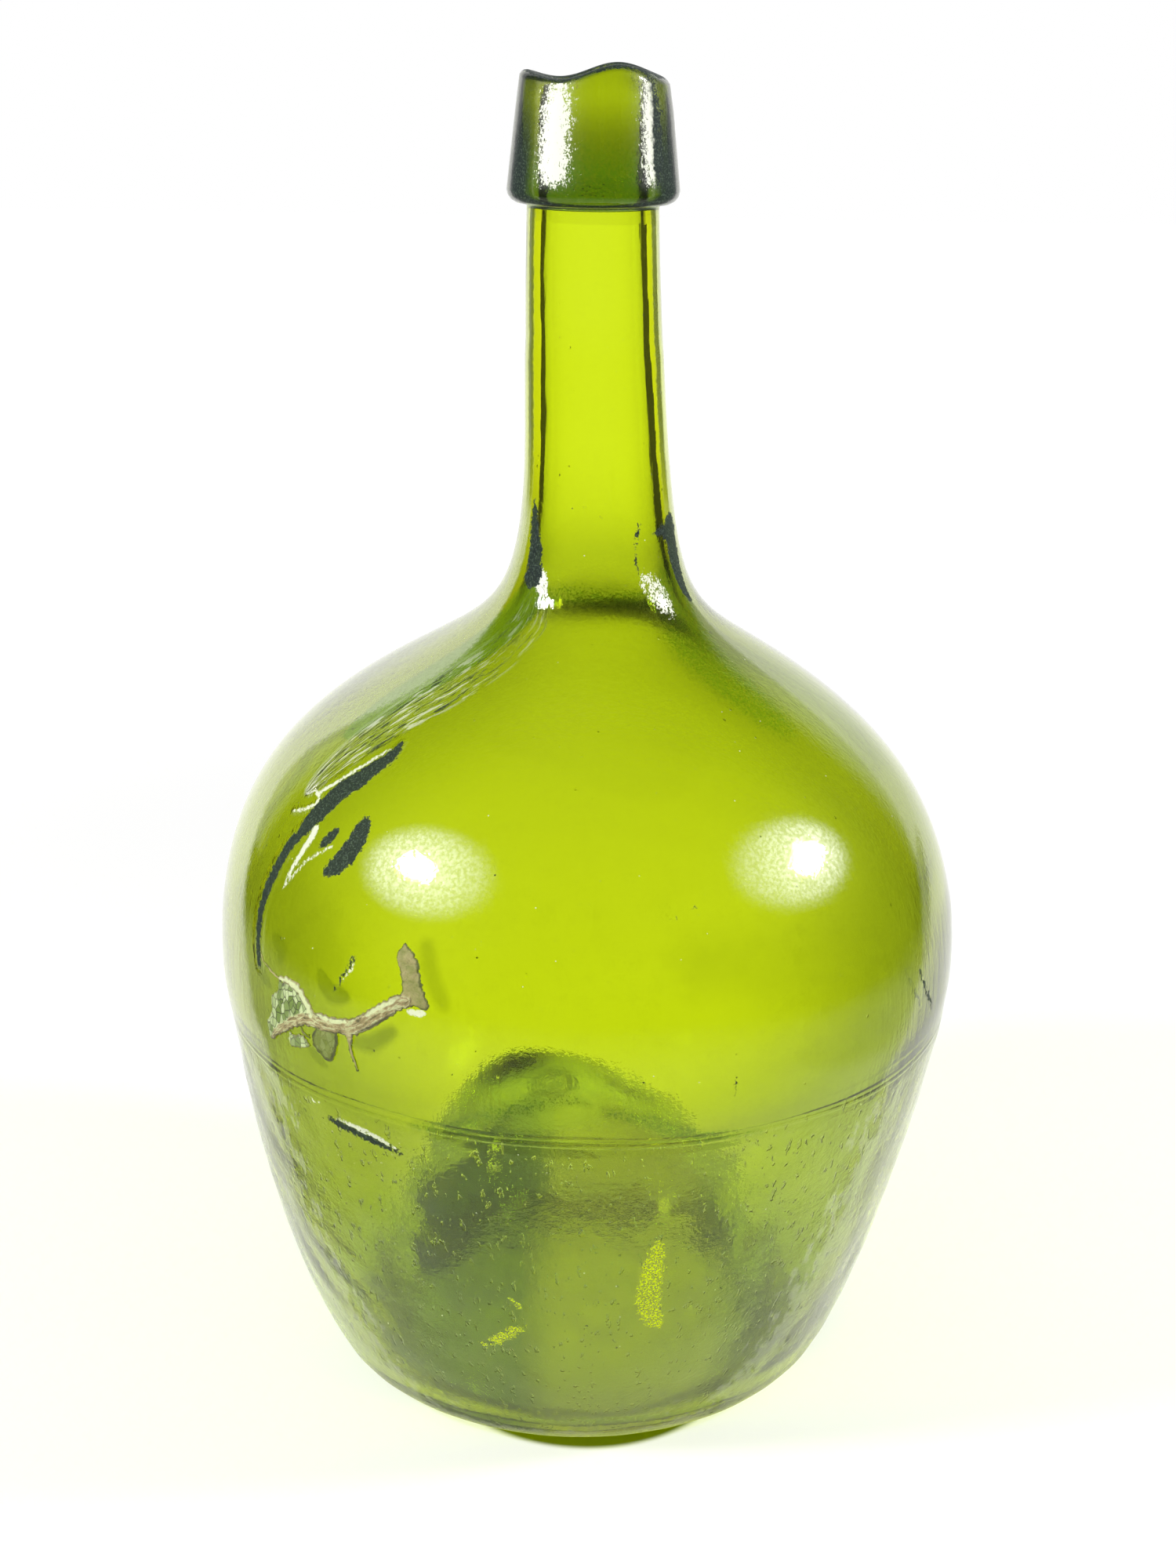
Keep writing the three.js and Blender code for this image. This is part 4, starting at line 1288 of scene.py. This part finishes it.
CRUST_PARTS = (
    CrustPart(FLAKES, 1.0, 0.3, outline=0.8, flaky=1.0),
    CrustPart(LOW_FLAKE, 0.9, 0.3, outline=0.9, flaky=0.9),
    CrustPart(CELL, 0.1, 0.25, flaky=0.15),
    CrustPart((*CELL, CELL[0]), 0.1, 0.35, (0.3, 0.5, 0.3), outline=0.0, crack=0.9),
    CrustPart(BAR, 0.3, 0.45),
    CrustPart(RIDGE, 0.5, 0.6, (0.4, 2.1, 1.7), striped=1.0),
    CrustPart(((-34.9, 138.6), (-34.4, 135.6)), 0.5, 0.5, (1.6, 1.0, 0.2), striped=0.6),
    CrustPart(((-33.2, 139.5), (-31.0, 142.0), (-28.8, 145.2), (-27.2, 147.6)), 0.3, 0.4, (0.1, 0.45, 0.1),
              outline=0.0, crack=1.0),
    CrustPart(((-41.2, 140.3), (-39.3, 140.0), (-37.4, 140.3), (-35.2, 141.3)), 1.0, 0.6, (0.2, 0.9, 0.2)),
    CrustPart(((-31.9, 144.6), (-30.2, 147.2), (-28.4, 149.6), (-27.0, 151.2)), 1.0, 0.65, (0.2, 0.8, 0.4),
              outline=0.2),
    CrustPart(ARC, 1.0, 0.5, (0.4, 1.2, 0.8), outline=0.7),
    CrustPart(((-55.9, 148.5), (-54.8, 146.4), (-52.2, 145.0), (-50.2, 144.5)), 0.8, 0.25, (0.2, 0.3, 0.4),
              outline=0.3),
    CrustPart(((-45.1, 135.2), (-44.3, 132.9), (-42.7, 132.1)), 0.4, 0.25, (0.3, 0.35, 0.2), outline=0.0,
              crack=0.9),
    CrustPart(((-35.0, 137.0), (-34.5, 133.1), (-33.9, 130.7), (-33.4, 128.4)), 0.7, 0.25,
              (0.4, 0.35, 0.15), outline=0.3, crack=0.4),
)


class Crust:
    """Crust of stone in the fold on the left of the belly, bedded in the glass."""

    reach: Patch = (-57.5, -20.5, 123.0, 168.0)
    ragged: HandWaves = HandWaves(0.9, 2.8, 0.22, 40, 9)
    lumps: HandWaves = HandWaves(1.6, 4.5, 0.09, 30, 3)
    spacing: float = 0.24
    thickness: float = 0.7
    edge_round: float = 0.35
    edge_fade: Point = (-0.2, 0.5)
    smooth_angle: float = 50.0
    far_outside: float = -5.0
    looks: tuple[str, ...] = ("tone", "outline", "crack", "striped", "flaky")

    def __init__(self, glass: Glass, finish: CrustFinish) -> None:
        """Keeps the glass that carries the crust, and the finish."""
        self.glass = glass
        self.finish = finish
        self.per_degree = math.radians(glass.sizes.body_radius)

    def build(self) -> bpy.types.Object:
        """Returns the finished crust, riding on the frame."""
        left, right, low, high = self.reach
        columns = round((right - left) * self.per_degree / self.spacing)
        rows = round((high - low) / self.spacing)
        deselect_all()
        bpy.ops.mesh.primitive_grid_add(x_subdivisions=columns, y_subdivisions=rows, size=1.0)
        crust = bpy.context.active_object
        crust.name = "fold_crust_stone"
        flat = read_places(crust.data.vertices, "co") + 0.5
        azimuth = left + (right - left) * flat[:, 0]
        height = low + (high - low) * flat[:, 1]
        places = self.glass.on_glass(azimuth, height)
        depth, rise = self.draw(crust, azimuth, height, places)
        turn = np.radians(azimuth)
        ways = np.column_stack([np.sin(turn), -np.cos(turn), np.zeros(len(turn))])
        domed = rise * (1 - np.exp(-np.maximum(depth, 0) / self.edge_round))
        lift = self.glass.soft_waves.at(places) + domed + self.lumps.at(places)
        write_points(crust, (places + ways * lift[:, None]) * MM)
        self.cut_out(crust, depth)
        activate(crust)
        solid = crust.modifiers.new("bed", "SOLIDIFY")
        solid.thickness = self.thickness * MM
        solid.offset = -1.0
        bpy.ops.object.modifier_apply(modifier=solid.name)
        crust.data.materials.append(self.finish.make())
        bpy.ops.object.shade_smooth_by_angle(angle=math.radians(self.smooth_angle))
        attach(crust, "root")
        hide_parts("fold_crust")
        return crust

    def draw(self, crust: bpy.types.Object, azimuth: np.ndarray, height: np.ndarray,
             places: np.ndarray) -> tuple[np.ndarray, np.ndarray]:
        """Stores the look of each place of the crust.

        Args:
            crust: the crust's mesh.
            azimuth: its vertices' angles from the front.
            height: their heights.
            places: their places on the glass.

        Returns:
            How far within the crust each place lies, and how high the crust stands there.
        """
        depth = np.full(len(places), self.far_outside)
        rise = np.zeros(len(places))
        values = {name: np.zeros(len(places)) for name in self.looks}
        strays = self.ragged.at(places)
        for part in CRUST_PARTS:
            if part.half_widths is None:
                inside = self.depth_in_outline(azimuth, height, part.places) + strays
            else:
                line = Mark(part.places, part.half_widths)
                inside, along, across = line.lie(places, self.glass.on_glass)
                inside += strays * min(part.half_widths[1], 1.0)
            if part.places is RIDGE:
                values |= {"along": along, "across": across}
            share = ease(inside, *self.edge_fade)
            for name in self.looks:
                values[name] += (getattr(part, name) - values[name]) * share
            rise = np.where(inside > 0, np.maximum(rise, part.rise), rise)
            depth = np.maximum(depth, inside)
        for name, held in {**values, "depth": depth}.items():
            write_values(crust, name, held)
        return depth, rise

    def depth_in_outline(self, azimuth: np.ndarray, height: np.ndarray,
                         outline: tuple[Point, ...]) -> np.ndarray:
        """Returns the distance to an outline in millimetres, less than 0 outside it."""
        across = azimuth * self.per_degree
        corners = np.array(outline) * (self.per_degree, 1)
        inside = np.zeros(len(azimuth), bool)
        gap = np.full(len(azimuth), np.inf)
        for low, high in zip(corners, np.roll(corners, -1, axis=0)):
            way = high - low
            share = ((across - low[0]) * way[0] + (height - low[1]) * way[1]) / (way @ way)
            share = np.clip(share, 0, 1)
            off = across - low[0] - share * way[0], height - low[1] - share * way[1]
            gap = np.minimum(gap, np.hypot(*off))
            spans = (low[1] > height) != (high[1] > height)
            crossing = low[0] + (height - low[1]) * way[0] / (way[1] if way[1] else 1.0)
            inside ^= spans & (across < crossing)
        return np.where(inside, gap, -gap)

    @staticmethod
    def cut_out(crust: bpy.types.Object, depth: np.ndarray) -> None:
        """Deletes the faces that lie outside the crust."""
        corners = np.empty(len(crust.data.loops), np.int32)
        crust.data.loops.foreach_get("vertex_index", corners)
        outside = depth[corners.reshape(-1, 4)].mean(axis=1) < 0
        activate(crust)
        select_faces(crust, outside)
        bpy.ops.object.mode_set(mode="EDIT")
        bpy.ops.mesh.delete(type="FACE")
        bpy.ops.mesh.select_all(action="SELECT")
        bpy.ops.mesh.normals_make_consistent(inside=False)
        bpy.ops.object.mode_set(mode="OBJECT")


@dataclass(frozen=True)
class Lamp:
    """Oval soft lamp, aimed at the bottle's shoulder."""

    name: str
    way: Triple
    distance: float = 1.2
    width: float = 0.2
    height: float = 0.15
    radiance: float = 165.0

    def place(self, aim: Vector) -> None:
        """Adds the lamp at its distance from what it is aimed at."""
        way = Vector(self.way).normalized()
        deselect_all()
        bpy.ops.object.light_add(type="AREA", location=aim + way * self.distance)
        lamp = bpy.context.active_object
        lamp.name = self.name
        lamp.rotation_euler = way.to_track_quat("Z", "Y").to_euler()
        lamp.data.shape = "ELLIPSE"
        lamp.data.size = self.width
        lamp.data.size_y = self.height
        lamp.data.energy = self.radiance * math.pi * math.pi * self.width * self.height / 4


class Studio:
    """White table and surroundings, two lamps and the camera."""

    floor_size: float = 8.0
    world_light: float = 0.55
    table_glow: float = 1.1
    table_colour: Colour = (0.72, 0.72, 0.71)
    # Painted shadow on the table under the bottle's foot.
    painted_foot_shadow: Colour = (0.54, 0.51, 0.26)
    shade_reach: Point = (0.064, 0.085)
    seen_reach: Point = (0.05, 0.066)
    # Painted shadow: a dark olive crescent just in front of the foot.
    foot_shade: Colour = (0.14, 0.16, 0.012)
    foot_shade_middle: Triple = (0.001, -0.0312, 0.0)
    foot_shade_reach: Point = (0.0435, 0.0465)
    table_end: Point = (0.08, 0.3)
    lit_left: Point = (0.11, 0.17)
    lit_right: Point = (0.26, 0.34)
    lit_spread: Point = (1.1, 0.8)
    contact: Point = (0.07, 0.1)
    fade: Point = (0.35, 0.9)
    backdrop_edge: Point = (0.55, 0.72)
    ceiling: Point = (0.6, 0.82)
    card_span: Point = (52.0, 76.0)
    card_soft: float = 3.0
    card_depth: float = 0.95
    lamps: tuple[Lamp, ...] = (
        Lamp("left_lamp", (-0.715, -0.338, 0.612)),
        Lamp("right_lamp", (0.855, -0.066, 0.515)),
    )
    focal_px: float = 2800.0
    frame_px: float = 2000.0
    sensor_mm: float = 36.0
    camera_place: Triple = (-0.4, -612.7, 392.3)
    pitch: float = 19.34
    roll: float = 0.8

    def build(self, aim: Vector) -> None:
        """Builds the whole studio.

        Args:
            aim: what the lamps are aimed at.
        """
        bpy.context.scene.view_settings.view_transform = "Standard"
        self.lay_floor()
        self.light_world()
        for lamp in self.lamps:
            lamp.place(aim)
        self.set_camera()

    def lay_floor(self) -> None:
        """Adds the white table: the bottle's shadow near it, painted shadow at its foot, then plain white.
        """
        deselect_all()
        bpy.ops.mesh.primitive_plane_add(size=self.floor_size)
        floor = bpy.context.active_object
        floor.name = "table"
        material = bpy.data.materials.new("white_table")
        shader = Shader(material)
        here = shader.add("ShaderNodeTexCoord", output="Object")
        away = shader.add("ShaderNodeVectorMath", {"operation": "LENGTH"}, {0: here}, output="Value")
        seen = shader.ray("Camera", "Glossy", "Transmission")
        card = self.card(shader, here) * away.between(*self.fade) * shader.ray("Transmission")
        across, along = shader.axes(here, "XY")
        behind = along | 0.0
        left_end = (0 - across - behind * self.lit_spread[0]).between(*self.lit_left)
        right_end = (across - behind * self.lit_spread[1]).between(*self.lit_right)
        ends = (0 - along).between(*self.table_end) | left_end | right_end
        dark = card | ends * shader.ray("Glossy")
        direct = shader.ray("Camera")
        near = direct * away.between(*self.seen_reach)
        lit = away.between(*self.shade_reach) | near
        # Painted shadow under the foot, where the table is darker.
        colour = shader.blend(lit, self.painted_foot_shadow, self.table_colour)
        # The painted crescent of shadow shows to the camera only.
        off = shader.add("ShaderNodeVectorMath", {"operation": "DISTANCE"}, {
            0: here, 1: self.foot_shade_middle}, output="Value")
        shaded = direct * (1 - off.between(*self.foot_shade_reach))
        colour = shader.blend(shaded, colour, self.foot_shade)
        matt = shader.add("ShaderNodeBsdfDiffuse", None, {"Color": colour})
        plain = shader.add("ShaderNodeEmission", None, {
            "Color": (1, 1, 1, 1), "Strength": self.table_glow * (1 - dark * self.card_depth)})
        close = away.between(*self.contact) | near
        share = (0.5 * close + 0.5 * away.between(*self.fade)) * (1 - shaded)
        surface = shader.mix_shader(seen * share, matt, plain)
        shader.add("ShaderNodeOutputMaterial", None, {"Surface": surface})
        floor.data.materials.append(material)

    def card(self, shader: Shader, way: Value) -> Value:
        """Returns 1 towards the two black cards beside the white backdrop, else 0."""
        across, along = shader.axes(way, "XY")
        turn = shader.maths("ARCTAN2", shader.maths("ABSOLUTE", across), along)
        low, high = (math.radians(angle) for angle in self.card_span)
        soft = math.radians(self.card_soft)
        return turn.within((low - soft, low + soft), (high - soft, high + soft))

    def light_world(self) -> None:
        """Makes the surroundings white to the eye, and dim in places for what the glass mirrors."""
        world = bpy.data.worlds.new("surroundings")
        bpy.context.scene.world = world
        shader = Shader(world)
        way = shader.add("ShaderNodeTexCoord", output="Generated")
        along, up = shader.axes(way, "YZ")
        ceiling = up.between(*self.ceiling)
        room = 1 - along.between(*self.backdrop_edge)
        mirrored = shader.ray("Glossy")
        bent = shader.ray("Transmission")
        seen = shader.ray("Camera")
        dark = mirrored * (ceiling | room) | bent * self.card(shader, way)
        bright = 1 - dark * self.card_depth
        shown = mirrored | bent
        strength = seen + (1 - seen) * (shown * bright + (1 - shown) * self.world_light)
        back = shader.add("ShaderNodeBackground", None, {"Color": (1, 1, 1, 1), "Strength": strength})
        shader.add("ShaderNodeOutputWorld", None, {"Surface": back})

    def set_camera(self) -> None:
        """Adds the camera where the photograph was taken from."""
        deselect_all()
        bpy.ops.object.camera_add()
        camera = bpy.context.active_object
        camera.name = "camera"
        camera.data.sensor_width = self.sensor_mm
        camera.data.sensor_fit = "AUTO"
        camera.data.lens = self.focal_px / self.frame_px * self.sensor_mm
        camera.data.clip_start = 0.05
        camera.data.clip_end = 50
        turn = Matrix.Rotation(math.radians(90 - self.pitch), 4, "X")
        camera.matrix_world = (Matrix.Translation(Vector(self.camera_place) * MM) @ turn
                               @ Matrix.Rotation(math.radians(self.roll), 4, "Z"))
        bpy.context.scene.camera = camera


def main() -> None:
    """Builds the bottle and its studio in order, and reports each piece."""
    logging.basicConfig(level=logging.INFO, format="%(name)s: %(message)s")
    sizes = BottleSizes()
    studio = Studio()
    studio.build(Vector((0, 0, sizes.widest_height * MM)))
    glass = Glass(sizes, GlassFinish())
    builders: list[Callable[[], bpy.types.Object]] = [glass.build, Crust(glass, CrustFinish()).build]
    for build in builders:
        piece = build()
        piece.data.calc_loop_triangles()
        log.info("%s has %d triangles", piece.name, len(piece.data.loop_triangles))


if __name__ == "__main__":
    main()
